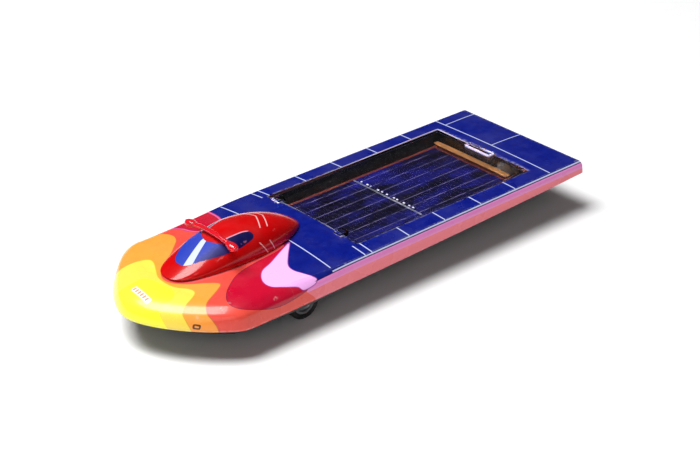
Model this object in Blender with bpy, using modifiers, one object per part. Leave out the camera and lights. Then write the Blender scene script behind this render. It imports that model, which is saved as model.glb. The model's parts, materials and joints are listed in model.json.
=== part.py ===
"""Solar racing-car kit, modelled as the separate pieces it is assembled from.

Frame: the origin is on the ground under the middle of the car, +X points to the
nose, +Y to the car's left side and +Z up. Every length is in metres.
"""

import math

import bmesh
import bpy
from mathutils import Matrix, Vector

MM = 0.001

# Whole car
LENGTH = 150.0 * MM
TAIL_X = -LENGTH / 2
NOSE_X = LENGTH / 2
DECK_Z = 16.0 * MM
GAP = 0.3 * MM

# Body shell
SHELL_WALL = 1.1 * MM
HALF_WIDTH_TAIL = 25.35 * MM
HALF_WIDTH_FRONT = 25.9 * MM
NOSE_START_X = 53.9 * MM
NOSE_HANDLE_X = 6.6 * MM
NOSE_HANDLE_Y = 9.4 * MM
TAIL_CORNER = 1.0 * MM
LIP_Z_TAIL = 11.75 * MM
LIP_DROP = 2.85 * MM
LIP_NOSE_RISE = 0.45 * MM
SIDE_SHOULDER = 1.25 * MM
NOSE_SHOULDER = 13.0 * MM
NOSE_ROUNDNESS = 2.6
NOSE_ONSET = 0.24
NOSE_EDGE_Z = 15.9 * MM
SPINE_REAR_X = -60.0 * MM
SPINE_FRONT_X = 50.0 * MM
NORMAL_INSET = 0.9 * MM

# Window in the deck and the solar panel in its clear case
WINDOW_REAR_X = -57.3 * MM
WINDOW_FRONT_X = 10.7 * MM
WINDOW_HALF_Y = 19.3 * MM
CASE_WALL = 0.8 * MM
CASE_BOTTOM_Z = 9.7 * MM
CASE_TOP_Z = 16.0 * MM
BOARD_THICK = 0.9 * MM
CELL_THICK = 0.4 * MM
CELL_TOP_Z = 11.5 * MM
CELL_SPLIT_X = -17.2 * MM

# Chassis pan
PAN_INSET = 1.6 * MM
PAN_WALL = 0.9 * MM
PAN_FLOOR_Z = 4.0 * MM
PAN_FLANK_SLOPE = 0.66
PAN_RIM_RISE = 1.8 * MM

# Front wheels and steering
FRONT_AXLE_X = 29.9 * MM
FRONT_TYRE_R = 5.0 * MM
FRONT_WHEEL_Y = 18.4 * MM
FRONT_TYRE_WIDTH = 3.2 * MM
STUB_R = 0.6 * MM
RUNNING_GAP = 0.08 * MM
POST_R = 1.4 * MM

# Rear wheel, gears and motor
REAR_AXLE_X = -64.0 * MM
REAR_TYRE_R = 5.8 * MM
REAR_TYRE_WIDTH = 3.4 * MM
REAR_AXLE_R = 0.75 * MM
GEAR_MODULE = 0.35 * MM
GEAR_TEETH = 24
PINION_TEETH = 10
PRESSURE_ANGLE = math.radians(20.0)
BACKLASH = 0.06 * MM
MOTOR_ANGLE = math.radians(134.7)
MOTOR_R = 3.5 * MM
MOTOR_FRONT_Y = 4.7 * MM
MOTOR_BACK_Y = 14.8 * MM
MOTOR_SHAFT_R = 0.4 * MM

# Canopy
CANOPY_WIDEST_X = 38.1 * MM
CANOPY_FRONT = 23.4 * MM
CANOPY_REAR = 22.3 * MM
CANOPY_HALF_WIDTH = 8.9 * MM
CANOPY_HEIGHT = 7.4 * MM
CANOPY_WALL = 0.9 * MM
MIRROR_X = 45.8 * MM
MIRROR_HALF_Y = 9.6 * MM

CENTRE_DISTANCE = GEAR_MODULE * (GEAR_TEETH + PINION_TEETH) / 2
MOTOR_X = REAR_AXLE_X + CENTRE_DISTANCE * math.cos(MOTOR_ANGLE)
MOTOR_Z = REAR_TYRE_R + CENTRE_DISTANCE * math.sin(MOTOR_ANGLE)


# ---------------------------------------------------------------- scene tools

def clear_scene():
    for old in list(bpy.data.objects):
        bpy.data.objects.remove(old, do_unlink=True)


def new_collection(name):
    collection = bpy.data.collections.new(name)
    bpy.context.scene.collection.children.link(collection)
    return collection


def material(name, color, roughness, metallic=0.0, transmission=0.0):
    mat = bpy.data.materials.new(name)
    mat.use_nodes = True
    shader = mat.node_tree.nodes["Principled BSDF"]
    shader.inputs["Base Color"].default_value = (*color, 1.0)
    shader.inputs["Roughness"].default_value = roughness
    shader.inputs["Metallic"].default_value = metallic
    shader.inputs["Transmission Weight"].default_value = transmission
    return mat


def add_object(name, bm, collection, mat=None, smooth_angle=None):
    """Turns a bmesh into an object, shaded smooth below the given angle."""
    mesh = bpy.data.meshes.new(name)
    bm.to_mesh(mesh)
    bm.free()
    obj = bpy.data.objects.new(name, mesh)
    collection.objects.link(obj)
    if mat is not None:
        mesh.materials.append(mat)
    if smooth_angle is not None:
        mesh.shade_smooth()
        mesh.set_sharp_from_angle(angle=math.radians(smooth_angle))
    return obj


def add_part(name, bm, mat, smooth_angle=None):
    return add_object(name, bm, PARTS, mat, smooth_angle)


def add_cutter(name, bm):
    cutter = add_object(name, bm, CUTTERS)
    cutter.hide_render = True
    cutter.display_type = "WIRE"
    return cutter


def boolean(obj, other, operation):
    modifier = obj.modifiers.new(other.name, "BOOLEAN")
    modifier.operation = operation
    modifier.solver = "EXACT"
    modifier.object = other


def cut(obj, name, bm):
    boolean(obj, add_cutter(name, bm), "DIFFERENCE")


def join(obj, name, bm):
    boolean(obj, add_cutter(name, bm), "UNION")


# ---------------------------------------------------------------- basic solids

def box(low, high, bevel=0.0):
    """A box between two corners, its edges bevelled by the given width."""
    low, high = Vector(low), Vector(high)
    bm = bmesh.new()
    bmesh.ops.create_cube(bm, size=1.0)
    bmesh.ops.scale(bm, vec=high - low, verts=bm.verts)
    bmesh.ops.translate(bm, vec=(low + high) / 2, verts=bm.verts)
    if bevel:
        bmesh.ops.bevel(bm, geom=bm.edges[:], offset=bevel, segments=2, profile=0.5, affect="EDGES")
    return bm


def cylinder(radius, start, end, segments=24, end_radius=None):
    """A cylinder or cone from one point to another."""
    start, end = Vector(start), Vector(end)
    along = end - start
    bm = bmesh.new()
    bmesh.ops.create_cone(
        bm,
        cap_ends=True,
        segments=segments,
        radius1=radius,
        radius2=radius if end_radius is None else end_radius,
        depth=along.length,
    )
    turn = Vector((0, 0, 1)).rotation_difference(along.normalized()).to_matrix().to_4x4()
    bmesh.ops.transform(bm, matrix=Matrix.Translation((start + end) / 2) @ turn, verts=bm.verts)
    return bm


def turned(name, profile, centre, mat, segments=32):
    """A closed ring profile of (radius, y) points turned about the Y axis through centre."""
    area = sum(a[0] * b[1] - b[0] * a[1] for a, b in zip(profile, profile[1:] + profile[:1]))
    if area > 0:
        profile = profile[::-1]
    bm = bmesh.new()
    verts = [bm.verts.new((radius, y, 0.0)) for radius, y in profile]
    for start, end in zip(verts, verts[1:] + verts[:1]):
        bm.edges.new((start, end))
    obj = add_part(name, bm, mat)
    obj.location = centre
    screw = obj.modifiers.new("turn", "SCREW")
    screw.axis = "Y"
    screw.steps = segments
    screw.render_steps = segments
    screw.use_merge_vertices = True
    screw.merge_threshold = 0.00001
    obj.data.shade_smooth()
    return obj


def curve_tube(name, points, radius, mat, sides=2):
    """A round wire along a poly line."""
    curve = bpy.data.curves.new(name, "CURVE")
    curve.dimensions = "3D"
    curve.bevel_depth = radius
    curve.bevel_resolution = sides
    curve.use_fill_caps = True
    spline = curve.splines.new("POLY")
    spline.points.add(len(points) - 1)
    for slot, point in zip(spline.points, points):
        slot.co = (*point, 1.0)
    obj = bpy.data.objects.new(name, curve)
    PARTS.objects.link(obj)
    curve.materials.append(mat)
    return obj


def smooth_route(stops, steps):
    """Points of a Catmull-Rom curve through the stops."""
    stops = [Vector(stop) for stop in stops]
    padded = [2 * stops[0] - stops[1], *stops, 2 * stops[-1] - stops[-2]]
    points = []
    for a, b, c, d in zip(padded, padded[1:], padded[2:], padded[3:]):
        for step in range(steps):
            t = step / steps
            points.append(
                0.5 * (2 * b + (c - a) * t + (2 * a - 5 * b + 4 * c - d) * t**2)
                + 0.5 * (3 * b - 3 * c + d - a) * t**3
            )
    return points + [stops[-1]]


# ---------------------------------------------------------------- body outline

def smoothstep(low, high, value):
    t = min(max((value - low) / (high - low), 0.0), 1.0)
    return t * t * (3 - 2 * t)


def half_width(x):
    """Half the width of the body's lower edge behind the nose."""
    t = min(max((x - TAIL_X) / (NOSE_START_X - TAIL_X), 0.0), 1.0)
    return HALF_WIDTH_TAIL + (HALF_WIDTH_FRONT - HALF_WIDTH_TAIL) * t


def lip_z(x):
    """Height of the shell's lower edge, which falls towards the nose and lifts a little at it."""
    t = min(max((x - TAIL_X) / (50.0 * MM - TAIL_X), 0.0), 1.0)
    lift = LIP_NOSE_RISE * smoothstep(50 * MM, 62 * MM, x)
    return LIP_Z_TAIL - LIP_DROP * (1 - (1 - t) ** 1.6) + lift


def crest_z(x):
    """Height of the deck along its centre line."""
    rise = 1.0 * MM * smoothstep(-45.0 * MM, 35.0 * MM, x)
    fall = 1.6 * MM * max(0.0, (x - 35.0 * MM) / (40.0 * MM)) ** 2
    return DECK_Z + rise - fall


def deck_edge_z(x):
    """Height of the deck where it meets the side's bevel."""
    return DECK_Z - 0.4 * MM - 0.8 * MM * ((x - TAIL_X) / LENGTH) ** 2


def deck_z(x, y):
    """Height of the deck behind the nose, crowned across by a parabola."""
    inner = half_width(x) - SIDE_SHOULDER
    return crest_z(x) - (crest_z(x) - deck_edge_z(x)) * (y / inner) ** 2


def nose_curve(t):
    """The nose's plan: one cubic Bezier from the straight side round to the tip."""
    ends = Vector((NOSE_START_X, HALF_WIDTH_FRONT)), Vector((NOSE_X, 0.0))
    handles = ends[0] + Vector((NOSE_HANDLE_X, 0.0)), ends[1] + Vector((0.0, NOSE_HANDLE_Y))
    s = 1 - t
    return ends[0] * s**3 + handles[0] * 3 * s * s * t + handles[1] * 3 * s * t * t + ends[1] * t**3


def body_outline():
    """The lower edge seen from above as a closed loop of (x, y, nose, tail).

    nose grows from 0 at the sides to 1 at the tip, and tail is 1 on the rear edge.
    """
    corner_y = HALF_WIDTH_TAIL - TAIL_CORNER
    half = [(TAIL_X, corner_y * step / 5, 0.0, 1.0) for step in range(6)]
    for step in range(1, 4):
        angle = math.radians(30 * step)
        x = TAIL_X + TAIL_CORNER * (1 - math.cos(angle))
        y = corner_y + TAIL_CORNER * math.sin(angle)
        half.append((x, y, 0.0, 1.0 - step / 3))
    first_x = TAIL_X + TAIL_CORNER
    for step in range(1, 17):
        x = first_x + (NOSE_START_X - first_x) * step / 16
        half.append((x, half_width(x), NOSE_ONSET * smoothstep(15 * MM, NOSE_START_X, x), 0.0))
    for step in range(1, 13):
        point = nose_curve(step / 12)
        nose = NOSE_ONSET + (1 - NOSE_ONSET) * smoothstep(0.0, 1.0, step / 12)
        half.append((point.x, point.y, nose, 0.0))
    return half + [(x, -y, nose, tail) for x, y, nose, tail in half[-2:0:-1]]


OUTLINE = body_outline()


def outline_normals():
    """The inward normal of the outline at each of its points."""
    normals = []
    count = len(OUTLINE)
    for index in range(count):
        before, after = OUTLINE[index - 1], OUTLINE[(index + 1) % count]
        tangent = Vector((after[0] - before[0], after[1] - before[1], 0.0)).normalized()
        normals.append(Vector((tangent.y, -tangent.x, 0.0)))
    return normals


NORMALS = outline_normals()


def spine_point(x):
    return Vector((min(max(x, SPINE_REAR_X), SPINE_FRONT_X), 0.0, 0.0))


def inset_point(index, inset):
    """A point moved in from the outline: square to it at first, then towards the spine."""
    x, y = OUTLINE[index][:2]
    square = min(inset, NORMAL_INSET)
    point = Vector((x, y, 0.0)) + NORMALS[index] * square
    beyond = inset - square
    if beyond > 0:
        point += (spine_point(x) - point).normalized() * beyond
    return point


def ring_solid(rings):
    """A closed solid from rings of points, whose first and last rings lie on the spine."""
    bm = bmesh.new()
    grid = [[bm.verts.new(point) for point in ring] for ring in rings]
    count = len(OUTLINE)
    for low, high in zip(grid, grid[1:]):
        for index in range(count):
            after = (index + 1) % count
            bm.faces.new((low[index], low[after], high[after], high[index]))
    bmesh.ops.remove_doubles(bm, verts=bm.verts, dist=2e-6)
    bmesh.ops.dissolve_degenerate(bm, edges=bm.edges, dist=1e-6)
    bmesh.ops.recalc_face_normals(bm, faces=bm.faces)
    return bm


# ---------------------------------------------------------------- body shell

SIDE_SECTION = ((0.0, 0.0), (0.1, 0.36), (0.18, 0.62), (0.3, 0.72), (0.62, 0.88), (0.9, 0.975), (1.15, 1.0))


def shell_ring_point(index, level, wall):
    """A point of the shell's side section, on its outer face (wall 0) or its inner face."""
    x, _, nose, _ = OUTLINE[index]
    foot = lip_z(x)
    top = (1 - nose) * deck_edge_z(x) + nose * NOSE_EDGE_Z - wall
    shoulder = SIDE_SHOULDER + (NOSE_SHOULDER - SIDE_SHOULDER) * nose
    angle = math.pi / 2 * level / (len(SIDE_SECTION) - 1)
    round_in = 1 - max(math.cos(angle), 0.0) ** (2 / NOSE_ROUNDNESS) if level < 6 else 1.0
    round_up = math.sin(angle) ** (2 / NOSE_ROUNDNESS)
    side_in, side_up = SIDE_SECTION[level]
    across = (1 - nose) * side_in + nose * round_in
    rise = (1 - nose) * side_up + nose * round_up
    point = inset_point(index, wall + shoulder * across)
    point.z = foot + (top - foot) * rise
    return point


def shell_deck_point(index, share, wall):
    """A deck point, the given share of the way from the shoulder to the spine."""
    edge = shell_ring_point(index, len(SIDE_SECTION) - 1, wall)
    point = edge.lerp(spine_point(OUTLINE[index][0]), share)
    crest = crest_z(point.x) - wall
    edge_drop = edge.z - (crest_z(edge.x) - wall)
    point.z = crest + edge_drop * (1 - share) ** 2
    return point


def shell_surface(wall):
    """Rings of one face of the shell, from the lower edge up and in to the spine."""
    indices = range(len(OUTLINE))
    rings = [[shell_ring_point(i, level, wall) for i in indices] for level in range(len(SIDE_SECTION))]
    for share in (0.25, 0.5, 0.75, 1.0):
        rings.append([shell_deck_point(i, share, wall) for i in indices])
    return rings


SCREWS = {"front": 63.5 * MM, "middle": 13.4 * MM}


def make_body_shell(mat):
    outer = shell_surface(0.0)
    inner = shell_surface(SHELL_WALL)
    shell = add_part("body_shell", ring_solid(outer[::-1] + inner), mat, 35)
    window_low = (WINDOW_REAR_X, -WINDOW_HALF_Y, 12 * MM)
    window_high = (WINDOW_FRONT_X, WINDOW_HALF_Y, 20 * MM)
    cut(shell, "cut_window", box(window_low, window_high))
    for place, x in SCREWS.items():
        boss_top = 15.2 * MM if place == "front" else 16.0 * MM
        join(shell, f"boss_{place}", cylinder(1.9 * MM, (x, 0, 7.9 * MM), (x, 0, boss_top), 20))
        cut(shell, f"boss_hole_{place}", cylinder(0.85 * MM, (x, 0, 6 * MM), (x, 0, 13.2 * MM), 16))
    return shell


# ---------------------------------------------------------------- canopy and mirror bar

def canopy_plan(x, inset):
    """Half-width of the canopy: one superellipse ahead of its widest point and one behind."""
    if x >= CANOPY_WIDEST_X:
        u = min((x - CANOPY_WIDEST_X) / (CANOPY_FRONT - inset), 1.0)
        share = max(1 - u**2.2, 0.0) ** (1 / 2.6)
    else:
        u = min((CANOPY_WIDEST_X - x) / (CANOPY_REAR - inset), 1.0)
        share = max(1 - u**1.8, 0.0) ** (1 / 1.75)
    return (CANOPY_HALF_WIDTH - inset) * share


def canopy_rise(x, inset):
    """Height of the canopy's ridge over the deck."""
    if x >= CANOPY_WIDEST_X:
        u = min((x - CANOPY_WIDEST_X) / (CANOPY_FRONT - inset), 1.0)
        share = max(1 - u**1.5, 0.0)
    else:
        u = min((CANOPY_WIDEST_X - x) / (CANOPY_REAR - inset), 1.0)
        share = max(1 - u**2, 0.0) ** 0.8
    return (CANOPY_HEIGHT - inset) * share


def canopy_section(x, inset, count):
    """One arch across the canopy, a superellipse standing on the crowned deck."""
    width, rise = canopy_plan(x, inset), canopy_rise(x, inset)
    points = []
    for step in range(count + 1):
        angle = math.pi * step / count
        cos, sin = math.cos(angle), math.sin(angle)
        y = width * math.copysign(abs(cos) ** 0.87, cos)
        z = deck_z(x, y) + GAP + rise * max(sin, 0.0) ** 0.87
        points.append(Vector((x, y, z)))
    return points


def canopy_stations(inset, count):
    """Stations from tail to nose, closer together at both ends."""
    rear = CANOPY_WIDEST_X - (CANOPY_REAR - inset)
    front = CANOPY_WIDEST_X + (CANOPY_FRONT - inset)
    angles = [math.pi * step / count for step in range(count + 1)]
    return [(rear + front) / 2 - (front - rear) / 2 * math.cos(angle) for angle in angles]


def make_canopy(mat):
    """A hollow, open-bottomed teardrop: outer arches, inner arches and the foot between them."""
    count, arch = 18, 14
    bm = bmesh.new()
    layers = []
    for inset in (0.0, CANOPY_WALL):
        stations = canopy_stations(inset, count)
        layers.append([[bm.verts.new(p) for p in canopy_section(x, inset, arch)] for x in stations])
    for layer in layers:
        for low, high in zip(layer, layer[1:]):
            for a, b, c, d in zip(low, low[1:], high[1:], high):
                bm.faces.new((a, b, c, d))
    outer, inner = layers
    for side in (0, arch):
        for index in range(count):
            after = index + 1
            bm.faces.new((outer[index][side], outer[after][side], inner[after][side], inner[index][side]))
    bmesh.ops.remove_doubles(bm, verts=bm.verts, dist=2e-6)
    bmesh.ops.recalc_face_normals(bm, faces=bm.faces)
    return add_part("canopy", bm, mat, 50)


def mirror_route():
    """The bar's line: level at the pods and lifted over the canopy between them."""
    points = []
    for step in range(17):
        y = MIRROR_HALF_Y * (step / 8 - 1)
        lift = 0.9 * MM * math.cos(math.pi * y / (2 * MIRROR_HALF_Y))
        points.append(Vector((MIRROR_X, y, DECK_Z + 7.6 * MM + lift)))
    return points


def make_mirror_bar(mat):
    """A moulded bar with a rounded pod on each end, lying across the canopy."""
    rod = curve_tube("mirror_rod_guide", mirror_route(), 0.7 * MM, mat, 2)
    depsgraph = bpy.context.evaluated_depsgraph_get()
    mesh = bpy.data.meshes.new_from_object(rod.evaluated_get(depsgraph))
    bm = bmesh.new()
    bm.from_mesh(mesh)
    bmesh.ops.remove_doubles(bm, verts=bm.verts, dist=1e-6)
    bar = add_part("mirror_bar", bm, mat, 40)
    bar.matrix_world = rod.matrix_world
    bpy.data.objects.remove(rod, do_unlink=True)
    bpy.data.meshes.remove(mesh)
    for side, name in ((1, "left"), (-1, "right")):
        pod = bmesh.new()
        bmesh.ops.create_uvsphere(pod, u_segments=14, v_segments=9, radius=1.0)
        bmesh.ops.scale(pod, vec=(1.6 * MM, 2.0 * MM, 1.25 * MM), verts=pod.verts)
        place = (MIRROR_X, side * (MIRROR_HALF_Y - 0.5 * MM), DECK_Z + 7.5 * MM)
        bmesh.ops.translate(pod, vec=place, verts=pod.verts)
        join(bar, f"pod_{name}", pod)
    return bar


# ---------------------------------------------------------------- solar panel

def make_panel_case(mat):
    """The clear case: a pane with walls round it, two front tabs and a looped rear tab."""
    clear = GAP
    low = (WINDOW_REAR_X + clear, -WINDOW_HALF_Y + clear, CASE_BOTTOM_Z)
    high = (WINDOW_FRONT_X - clear, WINDOW_HALF_Y - clear, CASE_TOP_Z)
    case = add_part("panel_case", box(low, high), mat)
    inner_low = (low[0] + CASE_WALL, low[1] + CASE_WALL, CASE_BOTTOM_Z - 1 * MM)
    inner_high = (high[0] - CASE_WALL, high[1] - CASE_WALL, CASE_TOP_Z - 0.7 * MM)
    cut(case, "cut_case", box(inner_low, inner_high))
    front = WINDOW_FRONT_X
    for name, y in (("left", 12.6 * MM), ("right", -14.3 * MM)):
        lip = deck_z(front, y) + GAP
        side_y, top = (y - 1.5 * MM, y + 1.5 * MM), lip + 0.6 * MM
        stem = box((front - 1.6 * MM, side_y[0], 15.6 * MM), (front - clear, side_y[1], top))
        join(case, f"tab_stem_{name}", stem)
        hook = box((front - 1.0 * MM, side_y[0], lip), (front + 1.6 * MM, side_y[1], top))
        join(case, f"tab_hook_{name}", hook)
    rear = WINDOW_REAR_X
    latch = box((rear + 0.3 * MM, -4.6 * MM, 15.7 * MM), (rear + 3.2 * MM, 5.8 * MM, 16.8 * MM))
    join(case, "latch", latch)
    slot = box((rear + 0.9 * MM, -3.8 * MM, 16.15 * MM), (rear + 2.6 * MM, 5.0 * MM, 18 * MM))
    cut(case, "latch_slot", slot)
    return case


def make_panel(mats):
    """The board, its two cells, the ribbon between them and the contact strip."""
    play = GAP + CASE_WALL + GAP
    rear, front = WINDOW_REAR_X + play, WINDOW_FRONT_X - play
    side = WINDOW_HALF_Y - play
    board_top = CELL_TOP_Z - CELL_THICK - 0.05 * MM
    board = box((rear, -side, board_top - BOARD_THICK), (front, side, board_top))
    add_part("panel_board", board, mats["board"])
    cell_low, cell_high = CELL_TOP_Z - CELL_THICK, CELL_TOP_Z
    cell_rear, cell_right = rear + 2.7 * MM, -side + 1.6 * MM
    gap = 0.35 * MM
    spans = {
        "solar_cell_rear": (cell_rear, CELL_SPLIT_X - gap),
        "solar_cell_front": (CELL_SPLIT_X + gap, front - 0.4 * MM),
    }
    for name, (start, end) in spans.items():
        cell = box((start, cell_right, cell_low), (end, side - 0.4 * MM, cell_high), 0.06 * MM)
        add_part(name, cell, mats["cell"])
    ribbon = box(
        (CELL_SPLIT_X - 0.7 * MM, cell_right + 0.4 * MM, cell_high + 0.05 * MM),
        (CELL_SPLIT_X + 0.7 * MM, side - 1.2 * MM, cell_high + 0.25 * MM),
    )
    add_part("cell_ribbon", ribbon, mats["tin"])
    strip = box(
        (rear + 0.4 * MM, -side + 1.6 * MM, board_top + 0.05 * MM),
        (rear + 2.4 * MM, side - 5.4 * MM, board_top + 0.45 * MM),
        0.1 * MM,
    )
    add_part("contact_strip", strip, mats["copper"])


# ---------------------------------------------------------------- chassis pan

def pan_profile(index):
    """(inset, z) points of the pan's outer face, from its floor's edge up to its rim."""
    x, y, nose, tail = OUTLINE[index]
    drop = 0.5 * MM + 1.9 * MM * math.exp(-(((x - 35 * MM) / (20 * MM)) ** 2)) * (1 - nose)
    side_knee = lip_z(x) - drop
    side_floor = (side_knee - PAN_FLOOR_Z) / PAN_FLANK_SLOPE
    rear_knee = side_knee - PAN_FLANK_SLOPE * (HALF_WIDTH_TAIL - PAN_INSET - abs(y))
    rear_knee = max(PAN_FLOOR_Z + 2 * MM, rear_knee)
    rear_floor = max((rear_knee - PAN_FLOOR_Z) / 2, (abs(y) - 13.5 * MM) / 0.8)
    knee = (1 - tail) * side_knee + tail * rear_knee
    floor_inset = PAN_INSET + (1 - tail) * side_floor + tail * rear_floor
    return [
        (floor_inset + 1.5 * MM, PAN_FLOOR_Z),
        (floor_inset - 0.8 * MM, PAN_FLOOR_Z + 0.4 * MM),
        (PAN_INSET + 0.6 * MM, knee - 0.25 * MM),
        (PAN_INSET, knee + 0.35 * MM),
        (PAN_INSET, lip_z(x) + PAN_RIM_RISE),
    ]


def pan_surface(wall):
    indices = range(len(OUTLINE))
    rings = [[spine_point(OUTLINE[i][0]) + Vector((0, 0, PAN_FLOOR_Z + wall)) for i in indices]]
    for level in range(5):
        ring = []
        for i in indices:
            inset, z = pan_profile(i)[level]
            point = inset_point(i, inset + wall)
            point.z = z if level == 4 else z + wall
            ring.append(point)
        rings.append(ring)
    return rings


def pan_eye(radius, y_low, y_high):
    return cylinder(radius, (REAR_AXLE_X, y_low, REAR_TYRE_R), (REAR_AXLE_X, y_high, REAR_TYRE_R), 20)


BEARINGS = {"left": (6.4 * MM, 8.2 * MM), "right": (-5.5 * MM, -3.8 * MM)}


def add_bearing_posts(pan):
    for side, (low, high) in BEARINGS.items():
        foot_low = (REAR_AXLE_X - 1.2 * MM, low, PAN_FLOOR_Z + 0.4 * MM)
        foot_high = (REAR_AXLE_X + 1.2 * MM, high, REAR_TYRE_R)
        join(pan, f"post_{side}", box(foot_low, foot_high))
        join(pan, f"eye_{side}", pan_eye(1.9 * MM, low, high))
        cut(pan, f"eye_hole_{side}", pan_eye(1.3 * MM, low - 1 * MM, high + 1 * MM))


CRADLE_RIBS = {"inner": 6.8 * MM, "outer": 12.9 * MM}


def add_motor_cradle(pan):
    """Two ribs with round seats that hold the motor, clear of the wheel and the axle."""
    for name, y in CRADLE_RIBS.items():
        low = (MOTOR_X - 3.6 * MM, y, PAN_FLOOR_Z + 0.4 * MM)
        high = (MOTOR_X + 1.2 * MM, y + 1.3 * MM, MOTOR_Z)
        join(pan, f"rib_{name}", box(low, high))
    seat = cylinder(MOTOR_R + 0.15 * MM, (MOTOR_X, 2 * MM, MOTOR_Z), (MOTOR_X, 20 * MM, MOTOR_Z), 32)
    cut(pan, "motor_seat", seat)


def add_screw_seats(pan):
    for place, x in SCREWS.items():
        join(pan, f"seat_{place}", cylinder(3.0 * MM, (x, 0, PAN_FLOOR_Z + 0.3 * MM), (x, 0, 7.5 * MM), 20))
        cut(pan, f"head_room_{place}", cylinder(2.2 * MM, (x, 0, 2 * MM), (x, 0, 5.8 * MM), 20))
        cut(pan, f"screw_hole_{place}", cylinder(1.1 * MM, (x, 0, 5 * MM), (x, 0, 9 * MM), 16))


STEER_TAB_X = FRONT_AXLE_X + 8.0 * MM


def make_chassis_pan(mat):
    outer, inner = pan_surface(0.0), pan_surface(PAN_WALL)
    pan = add_part("chassis_pan", ring_solid(outer + inner[::-1]), mat, 35)
    for side, sign in (("left", 1), ("right", -1)):
        near, far = 13.8 * MM * sign, 21.8 * MM * sign
        low = (FRONT_AXLE_X - 8.4 * MM, min(near, far), 0)
        high = (FRONT_AXLE_X + 8.4 * MM, max(near, far), 14 * MM)
        cut(pan, f"wheel_opening_{side}", box(low, high))
    cut(pan, "rear_opening", box((-70.6 * MM, -3.2 * MM, 0), (-57.4 * MM, 6.1 * MM, 9 * MM)))
    add_bearing_posts(pan)
    add_motor_cradle(pan)
    add_screw_seats(pan)
    post_low, post_top = (FRONT_AXLE_X, 0, PAN_FLOOR_Z + 0.4 * MM), (FRONT_AXLE_X, 0, 8.4 * MM)
    join(pan, "steering_post", cylinder(POST_R, post_low, post_top, 24))
    cut(pan, "post_hole", cylinder(0.75 * MM, (FRONT_AXLE_X, 0, 5.6 * MM), (FRONT_AXLE_X, 0, 11 * MM), 16))
    slot_low = (STEER_TAB_X - 1.5 * MM, -2.6 * MM, 0)
    cut(pan, "steer_slot", box(slot_low, (STEER_TAB_X + 1.5 * MM, 2.6 * MM, 5.1 * MM)))
    for name, x in (("rear", -40 * MM), ("centre", -10 * MM)):
        rib = box((x - 0.5 * MM, -13 * MM, PAN_FLOOR_Z + 0.4 * MM), (x + 0.5 * MM, 13 * MM, 9.2 * MM))
        join(pan, f"panel_rib_{name}", rib)
    return pan


def make_body_screws(mat):
    for place, x in SCREWS.items():
        head = cylinder(1.9 * MM, (x, 0, 4.3 * MM), (x, 0, 5.4 * MM), 20)
        screw = add_part(f"body_screw_{place}", head, mat, 40)
        join(screw, f"shank_{place}", cylinder(0.7 * MM, (x, 0, 5.0 * MM), (x, 0, 12.4 * MM), 14))
        for name, turn in (("a", 0), ("b", 90)):
            bar = box((-1.1 * MM, -0.2 * MM, -1 * MM), (1.1 * MM, 0.2 * MM, 0.5 * MM))
            place_at = Matrix.Translation((x, 0, 4.3 * MM)) @ Matrix.Rotation(math.radians(turn), 4, "Z")
            bmesh.ops.transform(bar, matrix=place_at, verts=bar.verts)
            cut(screw, f"cross_{place}_{name}", bar)


# ---------------------------------------------------------------- wheels

def tyre_profile(outer, inner, width):
    """A tyre's section: a bore, flat sides and a rounded tread."""
    half = width / 2
    return [
        (inner, -half * 0.8),
        (inner, half * 0.8),
        (outer - 0.9 * MM, half),
        (outer - 0.25 * MM, half * 0.8),
        (outer, half * 0.35),
        (outer, -half * 0.35),
        (outer - 0.25 * MM, -half * 0.8),
        (outer - 0.9 * MM, -half),
    ]


def wheel_profile(rim, bore, width, hub, hub_low, hub_high):
    """A dished wheel's section: a rim, a thin web and a hub round the bore."""
    half, web = width / 2 * 0.8, 0.45 * MM
    return [
        (bore, hub_low),
        (bore, hub_high),
        (hub, hub_high),
        (hub, web),
        (rim - 0.7 * MM, web),
        (rim - 0.7 * MM, half),
        (rim, half),
        (rim, -half),
        (rim - 0.7 * MM, -half),
        (rim - 0.7 * MM, -web),
        (hub, -web),
        (hub, hub_low),
    ]


def make_front_wheels(mats):
    """Both front wheels with their tyres, stub axles and end caps."""
    rim = FRONT_TYRE_R - 1.5 * MM
    for side, sign in (("left", 1), ("right", -1)):
        centre = (FRONT_AXLE_X, sign * FRONT_WHEEL_Y, FRONT_TYRE_R)
        hub = wheel_profile(rim, STUB_R + RUNNING_GAP, FRONT_TYRE_WIDTH, 1.5 * MM, -1.4 * MM, 1.4 * MM)
        turned(f"front_wheel_{side}", hub, centre, mats["wheel"])
        tread = tyre_profile(FRONT_TYRE_R, rim + 0.1 * MM, FRONT_TYRE_WIDTH)
        turned(f"front_tyre_{side}", tread, centre, mats["tyre"], 36)
        stub_in, stub_out = sign * 15.0 * MM, sign * 21.0 * MM
        stub_ends = [(FRONT_AXLE_X, y, FRONT_TYRE_R) for y in (stub_in, stub_out)]
        stub = cylinder(STUB_R, *stub_ends, 20)
        add_part(f"front_stub_axle_{side}", stub, mats["steel"], 40)
        cap_in, cap_out = 20.1 * MM, 20.8 * MM
        ring = [
            (STUB_R + 0.05 * MM, sign * cap_in),
            (STUB_R + 0.05 * MM, sign * cap_out),
            (1.1 * MM, sign * cap_out),
            (1.4 * MM, sign * (cap_out - 0.25 * MM)),
            (1.4 * MM, sign * cap_in),
        ]
        turned(f"front_axle_cap_{side}", ring, (FRONT_AXLE_X, 0, FRONT_TYRE_R), mats["wheel"], 20)


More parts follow.
